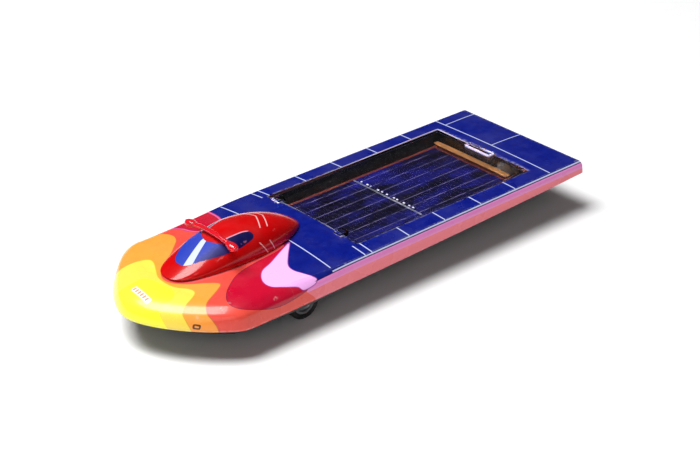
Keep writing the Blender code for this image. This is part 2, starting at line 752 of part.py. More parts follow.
def make_steering(mats):
    """The beam that carries both stub axles, and the screw that keeps it on its post."""
    x, z = FRONT_AXLE_X, FRONT_TYRE_R
    low_z, high_z = 5.5 * MM, 8.0 * MM
    bar = box((x - 2.0 * MM, -16.4 * MM, low_z), (x + 2.0 * MM, 16.4 * MM, high_z))
    beam = add_part("steering_beam", bar, mats["beam"], 30)
    join(beam, "beam_eye", cylinder(3.2 * MM, (x, 0, low_z), (x, 0, high_z), 24))
    tab_root = box((x + 2 * MM, -0.8 * MM, low_z), (STEER_TAB_X + 0.8 * MM, 0.8 * MM, 7.0 * MM))
    join(beam, "tab_root", tab_root)
    tab_low = (STEER_TAB_X - 0.8 * MM, -0.8 * MM, 3.4 * MM)
    join(beam, "tab", box(tab_low, (STEER_TAB_X + 0.8 * MM, 0.8 * MM, 6.5 * MM)))
    for side, sign in (("left", 1), ("right", -1)):
        near, far = sorted((14.7 * MM * sign, 16.4 * MM * sign))
        knuckle = box((x - 1.9 * MM, near, 3.9 * MM), (x + 1.9 * MM, far, 6.5 * MM))
        join(beam, f"knuckle_{side}", knuckle)
    eye = cylinder(POST_R + RUNNING_GAP, (x, 0, 4 * MM), (x, 0, 10 * MM), 24)
    cut(beam, "beam_eye_hole", eye)
    for side, sign in (("left", 1), ("right", -1)):
        bore = cylinder(STUB_R + 0.06 * MM, (x, sign * 14.0 * MM, z), (x, sign * 18 * MM, z), 20)
        cut(beam, f"stub_bore_{side}", bore)
    head = cylinder(2.3 * MM, (x, 0, 8.7 * MM), (x, 0, 9.6 * MM), 20)
    screw = add_part("steering_screw", head, mats["steel"], 40)
    join(screw, "steering_shank", cylinder(0.6 * MM, (x, 0, 6.2 * MM), (x, 0, 9.2 * MM), 14))
    slot = box((x - 2.5 * MM, -0.25 * MM, 9.25 * MM), (x + 2.5 * MM, 0.25 * MM, 10 * MM))
    cut(screw, "driver_slot", slot)


# ---------------------------------------------------------------- rear drive

def involute(angle):
    return math.tan(angle) - angle


def gear_outline(teeth, addendum, phase):
    """Points of a spur gear's edge, with involute flanks and radial roots."""
    pitch = GEAR_MODULE * teeth / 2
    base = pitch * math.cos(PRESSURE_ANGLE)
    tip = pitch + addendum
    root = pitch - 1.2 * GEAR_MODULE
    half_tooth = (math.pi * GEAR_MODULE / 2 - BACKLASH) / 2 / pitch
    start = max(base, root)
    radii = [root] + [start + (tip - start) * step / 3 for step in range(0 if base > root else 1, 4)]

    def half_angle(radius):
        pressure = math.acos(min(base / max(radius, base), 1.0))
        return half_tooth + involute(PRESSURE_ANGLE) - involute(pressure)

    points = []
    for tooth in range(teeth):
        middle = phase + 2 * math.pi * tooth / teeth
        flank = [(radius, half_angle(radius)) for radius in radii]
        for radius, half in flank:
            points.append((radius, middle - half))
        for radius, half in flank[::-1]:
            points.append((radius, middle + half))
    return [(radius * math.cos(angle), radius * math.sin(angle)) for radius, angle in points]


def gear_solid(outline, centre, y_low, y_high):
    """A gear whose outline lies in the XZ plane, with its thickness along Y."""
    bm = bmesh.new()
    verts = [bm.verts.new((centre[0] + a, y_low, centre[1] + b)) for a, b in outline]
    face = bm.faces.new(verts)
    moved = bmesh.ops.extrude_face_region(bm, geom=[face])
    top = [item for item in moved["geom"] if isinstance(item, bmesh.types.BMVert)]
    bmesh.ops.translate(bm, vec=(0, y_high - y_low, 0), verts=top)
    bmesh.ops.recalc_face_normals(bm, faces=bm.faces)
    return bm


def make_drive(mats):
    """Rear wheel, axle and gear, and the motor's pinion in mesh with it."""
    centre = (REAR_AXLE_X, 0, REAR_TYRE_R)

    def on_axle(y):
        return (REAR_AXLE_X, y, REAR_TYRE_R)

    rim = REAR_TYRE_R - 1.6 * MM
    hub = wheel_profile(rim, REAR_AXLE_R + 0.05 * MM, REAR_TYRE_WIDTH, 1.7 * MM, -2.8 * MM, 1.5 * MM)
    turned("rear_wheel", hub, centre, mats["wheel"])
    tread = tyre_profile(REAR_TYRE_R, rim + 0.1 * MM, REAR_TYRE_WIDTH)
    turned("rear_tyre", tread, centre, mats["tyre"], 36)
    axle = cylinder(REAR_AXLE_R, on_axle(-7.0 * MM), on_axle(9.0 * MM), 24)
    add_part("rear_axle", axle, mats["steel"], 40)
    for side, (low, high) in BEARINGS.items():
        ring = [
            (REAR_AXLE_R + RUNNING_GAP, low - 0.1 * MM),
            (REAR_AXLE_R + RUNNING_GAP, high + 0.1 * MM),
            (1.24 * MM, high + 0.1 * MM),
            (1.24 * MM, low - 0.1 * MM),
        ]
        turned(f"rear_bush_{side}", ring, centre, mats["brass"], 24)
    wheel_pitch = math.pi / GEAR_TEETH
    gear_phase = MOTOR_ANGLE + wheel_pitch
    pinion_phase = MOTOR_ANGLE + math.pi
    gear_edge = gear_outline(GEAR_TEETH, 0.8 * GEAR_MODULE, gear_phase)
    gear_face = gear_solid(gear_edge, (REAR_AXLE_X, REAR_TYRE_R), 2.1 * MM, 3.8 * MM)
    gear = add_part("spur_gear", gear_face, mats["gear"])
    join(gear, "gear_hub", cylinder(1.7 * MM, on_axle(2.1 * MM), on_axle(5.6 * MM), 20))
    cut(gear, "gear_bore", cylinder(REAR_AXLE_R + 0.05 * MM, on_axle(0), on_axle(9 * MM), 20))
    pinion_edge = gear_outline(PINION_TEETH, 0.9 * GEAR_MODULE, pinion_phase)
    pinion_face = gear_solid(pinion_edge, (MOTOR_X, MOTOR_Z), 2.0 * MM, 3.9 * MM)
    pinion = add_part("motor_pinion", pinion_face, mats["brass"])
    bore = cylinder(MOTOR_SHAFT_R + 0.05 * MM, (MOTOR_X, 0, MOTOR_Z), (MOTOR_X, 6 * MM, MOTOR_Z), 16)
    cut(pinion, "pinion_bore", bore)


TERMINALS = {"front": 1.4 * MM, "rear": -1.4 * MM}


def make_motor(mats):
    """A slim can motor with its shaft, end cap, two terminals and holding clip."""
    axis = (MOTOR_X, 0, MOTOR_Z)
    can_profile = [
        (0.8 * MM, MOTOR_FRONT_Y - 0.5 * MM),
        (1.3 * MM, MOTOR_FRONT_Y - 0.5 * MM),
        (1.3 * MM, MOTOR_FRONT_Y),
        (MOTOR_R - 0.3 * MM, MOTOR_FRONT_Y),
        (MOTOR_R, MOTOR_FRONT_Y + 0.3 * MM),
        (MOTOR_R, MOTOR_BACK_Y - 0.2 * MM),
        (MOTOR_R - 0.2 * MM, MOTOR_BACK_Y),
        (0.8 * MM, MOTOR_BACK_Y),
    ]
    turned("motor_can", can_profile, axis, mats["can"], 28)
    shaft_end = (MOTOR_X, MOTOR_BACK_Y - 0.2 * MM, MOTOR_Z)
    shaft = cylinder(MOTOR_SHAFT_R, (MOTOR_X, 1.9 * MM, MOTOR_Z), shaft_end, 14)
    add_part("motor_shaft", shaft, mats["steel"], 40)
    cap_low, cap_high = MOTOR_BACK_Y + 0.05 * MM, MOTOR_BACK_Y + 1.1 * MM
    cap = cylinder(3.2 * MM, (MOTOR_X, cap_low, MOTOR_Z), (MOTOR_X, cap_high, MOTOR_Z), 24, 2.9 * MM)
    add_part("motor_end_cap", cap, mats["beam"], 40)
    for name, offset in TERMINALS.items():
        low = (MOTOR_X + offset - 0.5 * MM, cap_high + 0.05 * MM, MOTOR_Z - 0.15 * MM)
        high = (MOTOR_X + offset + 0.5 * MM, cap_high + 1.4 * MM, MOTOR_Z + 0.15 * MM)
        add_part(f"motor_terminal_{name}", box(low, high), mats["tin"])
    ring = cylinder(MOTOR_R + 0.75 * MM, (MOTOR_X, 9.3 * MM, MOTOR_Z), (MOTOR_X, 11.8 * MM, MOTOR_Z), 28)
    clip = add_part("motor_clip", ring, mats["clip"], 40)
    bore = cylinder(MOTOR_R + 0.12 * MM, (MOTOR_X, 8 * MM, MOTOR_Z), (MOTOR_X, 13 * MM, MOTOR_Z), 28)
    cut(clip, "clip_bore", bore)
    mouth_low = (MOTOR_X - 2.4 * MM, 8 * MM, MOTOR_Z - 6 * MM)
    cut(clip, "clip_mouth", box(mouth_low, (MOTOR_X + 2.4 * MM, 13 * MM, MOTOR_Z - 1.5 * MM)))


def make_leads(mats):
    """The two leads from the panel's underside to the motor's terminals."""
    routes = {
        "lead_red": (
            (-53.0, 9.0, 9.2),
            (-55.8, 12.0, 8.7),
            (-58.8, 15.3, 9.2),
            (-62.3, 17.3, 10.1),
            (-65.2, 18.1, 10.5),
        ),
        "lead_black": (
            (-53.0, 13.0, 9.2),
            (-55.8, 15.0, 8.8),
            (-58.6, 17.0, 9.1),
            (-61.5, 18.4, 9.9),
            (-66.8, 19.4, 10.8),
        ),
    }
    ends = {"lead_red": TERMINALS["front"], "lead_black": TERMINALS["rear"]}
    for name, stops in routes.items():
        stops = [Vector(stop) * MM for stop in stops]
        stops.append(Vector((MOTOR_X + ends[name], MOTOR_BACK_Y + 3.1 * MM, MOTOR_Z)))
        curve_tube(name, smooth_route(stops, 5), 0.4 * MM, mats[name], 2)


# ---------------------------------------------------------------- assembly

def make_materials():
    return {
        "shell": material("printed_shell", (0.01, 0.03, 0.35), 0.2),
        "canopy": material("canopy_red", (0.72, 0.005, 0.01), 0.12),
        "mirror": material("mirror_red", (0.75, 0.02, 0.02), 0.1, transmission=0.4),
        "clear": material("clear_plastic", (0.9, 0.92, 0.95), 0.05, transmission=1.0),
        "board": material("panel_board", (0.35, 0.1, 0.06), 0.5),
        "cell": material("solar_cell", (0.012, 0.01, 0.08), 0.15),
        "tin": material("tinned_strip", (0.75, 0.75, 0.78), 0.3, 1.0),
        "copper": material("contact_copper", (0.8, 0.45, 0.2), 0.35, 0.8),
        "pan": material("pan_black", (0.02, 0.02, 0.022), 0.4),
        "beam": material("beam_black", (0.025, 0.025, 0.028), 0.45),
        "wheel": material("wheel_white", (0.75, 0.75, 0.74), 0.35),
        "tyre": material("tyre_rubber", (0.015, 0.015, 0.015), 0.8),
        "steel": material("steel", (0.6, 0.6, 0.62), 0.25, 1.0),
        "brass": material("brass", (0.75, 0.55, 0.25), 0.3, 1.0),
        "gear": material("gear_white", (0.85, 0.83, 0.75), 0.4),
        "can": material("motor_can", (0.55, 0.56, 0.58), 0.3, 1.0),
        "clip": material("clip_grey", (0.3, 0.31, 0.33), 0.4),
        "lead_red": material("lead_red", (0.6, 0.02, 0.02), 0.45),
        "lead_black": material("lead_black", (0.02, 0.02, 0.02), 0.45),
    }


def build():
    mats = make_materials()
    make_body_shell(mats["shell"])
    make_canopy(mats["canopy"])
    make_mirror_bar(mats["mirror"])
    make_panel_case(mats["clear"])
    make_panel(mats)
    make_chassis_pan(mats["pan"])
    make_body_screws(mats["steel"])
    make_front_wheels(mats)
    make_steering(mats)
    make_drive(mats)
    make_motor(mats)
    make_leads(mats)


clear_scene()
PARTS = new_collection("solar_racing_car")
CUTTERS = new_collection("cutters")
build()
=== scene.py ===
import json
import math

import bmesh
import bpy
import numpy as np
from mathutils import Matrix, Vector

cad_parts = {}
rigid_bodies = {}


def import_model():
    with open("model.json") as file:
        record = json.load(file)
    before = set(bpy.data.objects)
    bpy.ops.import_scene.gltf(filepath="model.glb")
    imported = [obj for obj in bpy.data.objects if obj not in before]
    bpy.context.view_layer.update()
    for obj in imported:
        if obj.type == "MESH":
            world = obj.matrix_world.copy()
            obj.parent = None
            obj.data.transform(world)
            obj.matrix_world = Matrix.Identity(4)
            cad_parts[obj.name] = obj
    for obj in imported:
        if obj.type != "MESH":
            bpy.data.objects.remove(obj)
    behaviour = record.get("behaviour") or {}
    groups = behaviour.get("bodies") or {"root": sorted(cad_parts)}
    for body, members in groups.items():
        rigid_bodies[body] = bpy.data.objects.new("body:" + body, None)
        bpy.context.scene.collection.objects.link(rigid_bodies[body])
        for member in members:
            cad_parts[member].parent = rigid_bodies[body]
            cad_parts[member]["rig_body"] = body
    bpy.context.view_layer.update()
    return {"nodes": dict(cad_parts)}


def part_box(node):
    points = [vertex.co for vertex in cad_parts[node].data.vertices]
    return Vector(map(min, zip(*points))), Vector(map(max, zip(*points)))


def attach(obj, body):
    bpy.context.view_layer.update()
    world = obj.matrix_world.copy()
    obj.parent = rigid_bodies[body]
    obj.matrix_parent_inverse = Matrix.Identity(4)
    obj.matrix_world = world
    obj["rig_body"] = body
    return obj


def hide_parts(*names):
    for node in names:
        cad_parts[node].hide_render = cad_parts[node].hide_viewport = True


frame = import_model()

MM = 0.001

# The body's driving sizes, in metres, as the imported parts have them
TAIL_X, NOSE_X = -75.0 * MM, 75.0 * MM
NOSE_START_X = 53.9 * MM
NOSE_HANDLE = (6.6 * MM, 9.4 * MM)
HALF_WIDTH_TAIL, HALF_WIDTH_FRONT = 25.35 * MM, 25.9 * MM
TAIL_CORNER = 1.0 * MM
SIDE_SHOULDER, NOSE_SHOULDER = 1.25 * MM, 13.0 * MM
NOSE_ROUNDNESS, NOSE_ONSET, NOSE_EDGE_Z = 2.6, 0.24, 15.9 * MM
SPINE_FRONT_X = 50.0 * MM
SQUARE_INSET = 0.9 * MM
SHELL_WALL = 1.1 * MM
WINDOW_X = (-57.3 * MM, 10.7 * MM)
WINDOW_Y = 19.3 * MM
CANOPY_X, CANOPY_FRONT, CANOPY_REAR = 38.1 * MM, 23.4 * MM, 22.3 * MM
CANOPY_HALF, CANOPY_RISE, CANOPY_WALL = 8.9 * MM, 7.4 * MM, 0.9 * MM
CANOPY_GAP = 0.3 * MM
MIRROR_X, MIRROR_HALF_Y, MIRROR_Z = 45.8 * MM, 9.6 * MM, 23.6 * MM

# Heights of the lower edge, the crest and the shoulder, and where along the body they change
LIP_TAIL_Z, LIP_DROP, LIP_LIFT = 11.75 * MM, 2.85 * MM, 0.45 * MM
LIP_DROP_END_X, LIP_LIFT_END_X = 50.0 * MM, 62.0 * MM
CREST_TAIL_Z, CREST_RISE, CREST_FALL = 16.0 * MM, 1.0 * MM, 1.6 * MM
CREST_RISE_X, CREST_TOP_X, CREST_FALL_LENGTH = -45.0 * MM, 35.0 * MM, 40.0 * MM
SHOULDER_Z, SHOULDER_FALL = 15.6 * MM, 0.8 * MM
NOSE_ONSET_X = 15.0 * MM
TAIL_FALL_X, TAIL_FALL_LENGTH = -60.0 * MM, 13.75 * MM

# How finely the outline is laid out: deck columns on one side, tail corner and nose
HALF_COLUMNS, CORNER_STEPS, NOSE_STEPS = 41, 7, 100
WINDOW_SHARE = 0.75


# ------------------------------------------------------------------ numbers

def smoothstep(low, high, value):
    """Rises from 0 to 1 between low and high along 3t^2 - 2t^3."""
    t = np.clip((value - low) / (high - low), 0.0, 1.0)
    return t * t * (3 - 2 * t)


def spline_loop(stops, steps=14):
    """A closed Catmull-Rom line through the stops, steps points to a span."""
    a, b, c, d = (np.roll(np.asarray(stops, float), k, axis=0)[:, None, :] for k in (1, 0, -1, -2))
    t = (np.arange(steps) / steps)[None, :, None]
    line = 0.5 * (2 * b + (c - a) * t + (2 * a - 5 * b + 4 * c - d) * t**2 + (3 * b - 3 * c + d - a) * t**3)
    return line.reshape(-1, 2)


def inside_distance(points, loop):
    """Distance from each point to a closed line, positive inside it and negative outside."""
    nearest = np.full(len(points), 1e9)
    odd = np.zeros(len(points), bool)
    for start, end in zip(loop, np.roll(loop, -1, axis=0)):
        along = end - start
        length = max(along @ along, 1e-18)
        share = np.clip(((points - start) @ along) / length, 0, 1)
        gap = points - start - share[:, None] * along
        nearest = np.minimum(nearest, np.einsum("ij,ij->i", gap, gap))
        if start[1] != end[1]:
            crosses = (start[1] > points[:, 1]) != (end[1] > points[:, 1])
            reach = start[0] + (points[:, 1] - start[1]) * along[0] / along[1]
            odd ^= crosses & (points[:, 0] < reach)
    return np.sqrt(nearest) * np.where(odd, 1.0, -1.0)


# ------------------------------------------------------------------ meshes

def grid_faces(rows, cols, start=0, around=False):
    """Four-cornered faces over a grid of rows by cols points; around joins the last row to the first."""
    r = np.arange(rows if around else rows - 1)[:, None]
    c = np.arange(cols - 1)[None, :]
    corner = start + r * cols + c
    below = start + ((r + 1) % rows) * cols + c
    return np.stack([corner, below, below + 1, corner + 1], axis=-1).reshape(-1, 4)


def weld(points, faces, extra):
    """Merges points that share a place, so that patches and poles close."""
    keys = np.round(points / 3e-6).astype(np.int64)
    _, first, index = np.unique(keys, axis=0, return_index=True, return_inverse=True)
    faces = index.reshape(-1)[faces]
    lists = [list(dict.fromkeys(face)) for face in faces.tolist()]
    return points[first], [face for face in lists if len(face) > 2], {k: v[first] for k, v in extra.items()}


def stand(name, data):
    """Puts a mesh, a lamp or a camera into the scene."""
    obj = bpy.data.objects.new(name, data)
    bpy.context.scene.collection.objects.link(obj)
    return obj


def surface(name, points, faces, body, mat, extra=None, sharp=None):
    """Puts whole arrays of points and faces into a piece, with one float attribute for each extra array."""
    points, faces, extra = weld(np.asarray(points, float), np.asarray(faces), extra or {})
    mesh = bpy.data.meshes.new(name)
    mesh.from_pydata(points.tolist(), [], faces)
    for key, values in extra.items():
        mesh.attributes.new(key, "FLOAT", "POINT").data.foreach_set("value", values.astype(np.float32))
    mesh.materials.append(mat)
    mesh.shade_smooth()
    if sharp is not None:
        mesh.set_sharp_from_angle(angle=math.radians(sharp))
    obj = stand(name, mesh)
    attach(obj, body)
    return obj


def thicken(obj, wall, inside):
    """Gives a skin its wall, inwards from the outer face, with a plain unprinted inner face."""
    obj.data.materials.append(inside)
    solid = obj.modifiers.new("wall", "SOLIDIFY")
    solid.thickness = wall
    solid.offset = -1.0
    solid.use_rim = True
    solid.material_offset = 1


def lathe(name, profile, centre, body, mat, steps=72, sharp=35, ripple=None):
    """A closed profile of (radius, y) turned about a line along Y through centre.

    Each profile point (r, y) goes to (r sin a, y, r cos a); ripple(angle, r, y) may add to r.
    """
    profile = np.asarray(profile, float)
    radius, y = profile[:, 0], profile[:, 1]
    if np.sum(radius * np.roll(y, -1) - np.roll(radius, -1) * y) > 0:
        radius, y = radius[::-1], y[::-1]
    radius, y = np.append(radius, radius[0]), np.append(y, y[0])
    angle = np.linspace(0, 2 * math.pi, steps, endpoint=False)[:, None]
    turned = radius[None, :] + (ripple(angle, radius[None, :], y[None, :]) if ripple else 0.0 * angle)
    across = np.broadcast_to(y, turned.shape)
    points = np.stack([turned * np.sin(angle), across, turned * np.cos(angle)], axis=-1)
    faces = grid_faces(steps, len(radius), around=True)
    return surface(name, points.reshape(-1, 3) + np.asarray(centre), faces, body, mat, sharp=sharp)


def dress(node, mat, bevel=0.12, sharp=35, segments=2):
    """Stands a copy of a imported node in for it: points merged, soft shading and a fine edge radius."""
    source = frame["nodes"][node]
    mesh = source.data.copy()
    mesh.name = f"{node}_finished"
    work = bmesh.new()
    work.from_mesh(mesh)
    bmesh.ops.remove_doubles(work, verts=work.verts, dist=2e-6)
    bmesh.ops.dissolve_limit(work, angle_limit=math.radians(1.0), verts=work.verts, edges=work.edges)
    work.to_mesh(mesh)
    work.free()
    mesh.materials.clear()
    mesh.materials.append(mat)
    mesh.shade_smooth()
    mesh.set_sharp_from_angle(angle=math.radians(sharp))
    obj = stand(f"{node}_finished", mesh)
    if bevel:
        edge = obj.modifiers.new("edge_radius", "BEVEL")
        edge.width = bevel * MM
        edge.segments = segments
        edge.limit_method = "ANGLE"
        edge.angle_limit = math.radians(sharp)
        edge.use_clamp_overlap = True
        edge.harden_normals = True
    body = source["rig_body"]
    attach(obj, body)
    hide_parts(node)
    return obj


# ------------------------------------------------------------------ body shell

def half_width(x):
    """Half the width of the lower edge: a straight taper behind the nose."""
    t = np.clip((x - TAIL_X) / (NOSE_START_X - TAIL_X), 0, 1)
    return HALF_WIDTH_TAIL + (HALF_WIDTH_FRONT - HALF_WIDTH_TAIL) * t


def lip_z(x):
    """Lower edge: falls from the tail along 1 - (1 - t)^1.6 and lifts a little at the nose."""
    t = np.clip((x - TAIL_X) / (LIP_DROP_END_X - TAIL_X), 0, 1)
    drop = LIP_DROP * (1 - (1 - t) ** 1.6)
    return LIP_TAIL_Z - drop + LIP_LIFT * smoothstep(LIP_DROP_END_X, LIP_LIFT_END_X, x)


def crest_z(x):
    """Deck height on the centre line: a soft rise ahead of the tail and a parabola down to the nose."""
    fall = np.clip((x - CREST_TOP_X) / CREST_FALL_LENGTH, 0, None) ** 2
    return CREST_TAIL_Z + CREST_RISE * smoothstep(CREST_RISE_X, CREST_TOP_X, x) - CREST_FALL * fall


def nose_weight(x):
    """How far the side's section has turned into the nose's rounded one behind the nose."""
    return NOSE_ONSET * smoothstep(NOSE_ONSET_X, NOSE_START_X, x)


def shoulder_z(x, nose):
    """Height where the deck meets the side."""
    plain = SHOULDER_Z - SHOULDER_FALL * ((x - TAIL_X) / (NOSE_X - TAIL_X)) ** 2
    return (1 - nose) * plain + nose * NOSE_EDGE_Z


def shoulder_inset(nose):
    return SIDE_SHOULDER + (NOSE_SHOULDER - SIDE_SHOULDER) * nose


def nose_plan(t):
    """The nose seen from above: a cubic Bezier from the straight side round to the tip."""
    t = np.asarray(t)[:, None]
    start, tip = np.array([NOSE_START_X, HALF_WIDTH_FRONT]), np.array([NOSE_X, 0.0])
    first, last = start + [NOSE_HANDLE[0], 0], tip + [0, NOSE_HANDLE[1]]
    s = 1 - t
    return start * s**3 + first * 3 * s * s * t + last * 3 * s * t * t + tip * t**3


def deck_column(x, eta):
    """The y of deck lines: even inside the window's width, then even out to the shoulder."""
    inner = half_width(x) - shoulder_inset(nose_weight(x))
    share = np.abs(eta)
    beyond = WINDOW_Y + (inner - WINDOW_Y) * (share - WINDOW_SHARE) / (1 - WINDOW_SHARE)
    y = np.where(share <= WINDOW_SHARE, WINDOW_Y * share / WINDOW_SHARE, beyond)
    return np.copysign(y, eta), inner


def deck_height(x, y, inner):
    """Crest height less a parabola across, with the same fall to the tail edge."""
    across = np.abs(y) / inner
    along = np.clip((TAIL_FALL_X - x) / TAIL_FALL_LENGTH, 0, 1)
    s = np.minimum((across**8 + along**8) ** 0.125, 1.0)
    return crest_z(x) - (crest_z(x) - shoulder_z(x, nose_weight(x))) * s**2


def outline_half():
    """The left half of the lower edge from the tail's middle to the nose tip.

    Returns the edge points, the shoulder points that they rise to, and the nose weight.
    """
    eta = np.linspace(0, 1, HALF_COLUMNS)
    rear_x = TAIL_X + SIDE_SHOULDER
    rear_y, rear_inner = deck_column(np.full(HALF_COLUMNS, rear_x), eta)
    edges = [np.stack([np.full(HALF_COLUMNS, TAIL_X), rear_y], 1)]
    tops = [np.stack([np.full(HALF_COLUMNS, rear_x), rear_y], 1)]
    corner = np.array([rear_x, rear_inner[0]])
    turn = np.radians(np.linspace(0, 90, CORNER_STEPS))
    centre = np.array([TAIL_X + TAIL_CORNER, HALF_WIDTH_TAIL - TAIL_CORNER])
    edges.append(centre + TAIL_CORNER * np.stack([-np.cos(turn), np.sin(turn)], 1))
    tops.append(np.repeat(corner[None], CORNER_STEPS, 0))
    side_x = deck_stations()
    edges.append(np.stack([side_x, half_width(side_x)], 1))
    tops.append(np.stack([side_x, half_width(side_x) - shoulder_inset(nose_weight(side_x))], 1))
    rear = HALF_COLUMNS + CORNER_STEPS
    count = rear + len(side_x)
    weights = [np.zeros(rear), nose_weight(side_x)]
    bend_x = np.linspace(SPINE_FRONT_X, NOSE_START_X, 7)[1:-1]
    t = np.linspace(0, 1, NOSE_STEPS)
    plan = np.concatenate([np.stack([bend_x, half_width(bend_x)], 1), nose_plan(t)])
    weight = np.concatenate([nose_weight(bend_x), NOSE_ONSET + (1 - NOSE_ONSET) * smoothstep(0, 1, t)])
    tangent = np.gradient(plan, axis=0)
    tangent[-1] = (0, -1)
    tangent /= np.linalg.norm(tangent, axis=1)[:, None]
    square = plan + np.stack([tangent[:, 1], -tangent[:, 0]], 1) * SQUARE_INSET
    aim = np.array([SPINE_FRONT_X, 0.0]) - square
    aim /= np.linalg.norm(aim, axis=1)[:, None]
    edges.append(plan)
    tops.append(square + aim * (shoulder_inset(weight) - SQUARE_INSET)[:, None])
    weights.append(weight)
    return np.concatenate(edges), np.concatenate(tops), np.concatenate(weights), count


def deck_stations():
    spans = (
        (TAIL_X + SIDE_SHOULDER, WINDOW_X[0], 14),
        (WINDOW_X[0], WINDOW_X[1], 46),
        (WINDOW_X[1], SPINE_FRONT_X, 72),
    )
    return np.concatenate([np.linspace(a, b, n)[: None if b == SPINE_FRONT_X else -1] for a, b, n in spans])


SECTION_IN = (0.0, 0.1, 0.18, 0.3, 0.62, 0.9, 1.15)
SECTION_UP = (0.0, 0.36, 0.62, 0.72, 0.88, 0.975, 1.0)


def side_section(levels):
    """Share in and share up of the side's section: a leaning wall under a rounded chamfer."""
    knots = np.linspace(0, 1, 7)
    t = np.linspace(0, 1, levels)
    ins, ups = np.interp(t, knots, SECTION_IN), np.interp(t, knots, SECTION_UP)
    for _ in range(2):
        ins[1:-1] = (ins[:-2] + ins[1:-1] * 2 + ins[2:]) / 4
        ups[1:-1] = (ups[:-2] + ups[1:-1] * 2 + ups[2:]) / 4
    return ins, ups


def shell_skin_arrays(levels=26):
    """The shell's outer face as three grids: the side round the whole outline, the deck and the nose cap.

    Also gives each point's place on the flattened skin, where the sides are laid out beside the deck,
    and its share of the side's height.
    """
    edge, top, nose, deck_end = outline_half()
    mirrored = slice(-2, 0, -1)
    edge = np.concatenate([edge, edge[mirrored] * (1, -1)])
    top = np.concatenate([top, top[mirrored] * (1, -1)])
    nose = np.concatenate([nose, nose[mirrored]])
    ins, ups = side_section(levels)
    angle = np.linspace(0, math.pi / 2, levels)
    round_in = 1 - np.clip(np.cos(angle), 0, 1) ** (2 / NOSE_ROUNDNESS)
    round_up = np.sin(angle) ** (2 / NOSE_ROUNDNESS)
    weight = nose[:, None]
    share_in = (1 - weight) * np.minimum(ins, 1.0) + weight * round_in
    share_up = (1 - weight) * ups + weight * round_up
    foot, brow = lip_z(edge[:, 0])[:, None], shoulder_z(edge[:, 0], nose)[:, None]
    plan = edge[:, None, :] + (top - edge)[:, None, :] * share_in[..., None]
    side = np.concatenate([plan, (foot + (brow - foot) * share_up)[..., None]], axis=-1)
    side[:, -1, 2] = brow[:, 0]
    steps = np.linalg.norm(np.diff(side, axis=1), axis=-1)
    below = np.concatenate([np.cumsum(steps[:, ::-1], axis=1)[:, ::-1], np.zeros((len(side), 1))], axis=1)
    outward = (edge - top) / np.linalg.norm(edge - top, axis=1)[:, None]
    side_flat = top[:, None, :] + outward[:, None, :] * below[..., None]

    eta = np.linspace(-1, 1, 2 * HALF_COLUMNS - 1)
    x = np.repeat(deck_stations()[:, None], len(eta), 1)
    y, inner = deck_column(x, eta[None, :])
    deck = np.stack([x, y, deck_height(x, y, inner)], -1)
    middle_x, middle_y = (x[:-1, :-1] + x[1:, 1:]) / 2, (y[:-1, :-1] + y[1:, 1:]) / 2
    in_window = (middle_x > WINDOW_X[0]) & (middle_x < WINDOW_X[1]) & (np.abs(middle_y) < WINDOW_Y)
    deck_faces = grid_faces(*x.shape)[~in_window.reshape(-1)]

    first = deck_end - 1
    ring = np.arange(first, len(edge) - first + 1) % len(edge)
    half_eta = eta[HALF_COLUMNS - 1:][::-1]
    last_y, last_inner = deck_column(np.full(HALF_COLUMNS, SPINE_FRONT_X), half_eta)
    reach = (last_y / last_inner)[None, :, None]
    start = np.array([SPINE_FRONT_X, 0.0])
    cap_plan = start + (top[ring] - start)[:, None, :] * reach
    brow_drop = (brow[ring, 0] - crest_z(top[ring, 0]))[:, None]
    cap_z = crest_z(cap_plan[..., 0]) + brow_drop * reach[..., 0] ** 2
    cap = np.concatenate([cap_plan, cap_z[..., None]], -1)

    points = np.concatenate([side.reshape(-1, 3), deck.reshape(-1, 3), cap.reshape(-1, 3)])
    flat = [side_flat, deck[..., :2], cap[..., :2]]
    flat = np.concatenate([grid.reshape(-1, 2) for grid in flat])
    depth = np.concatenate([below.reshape(-1), np.zeros(deck[..., 0].size + cap[..., 0].size)])
    side_faces = grid_faces(*side.shape[:2], around=True)[:, ::-1]
    cap_faces = grid_faces(*cap.shape[:2], start=side[..., 0].size + deck[..., 0].size)[:, ::-1]
    faces = np.concatenate([side_faces, deck_faces + side[..., 0].size, cap_faces])
    return points, faces, flat, depth


# ------------------------------------------------------------------ canopy

def canopy_half(x, grow):
    """Half-width along the canopy: one superellipse ahead of the widest point and one behind."""
    ahead = np.clip((x - CANOPY_X) / (CANOPY_FRONT + grow), 0, 1)
    behind = np.clip((CANOPY_X - x) / (CANOPY_REAR + grow), 0, 1)
    share = np.where(x >= CANOPY_X, (1 - ahead**2.2) ** (1 / 2.6), (1 - behind**1.8) ** (1 / 1.75))
    return (CANOPY_HALF + grow) * share


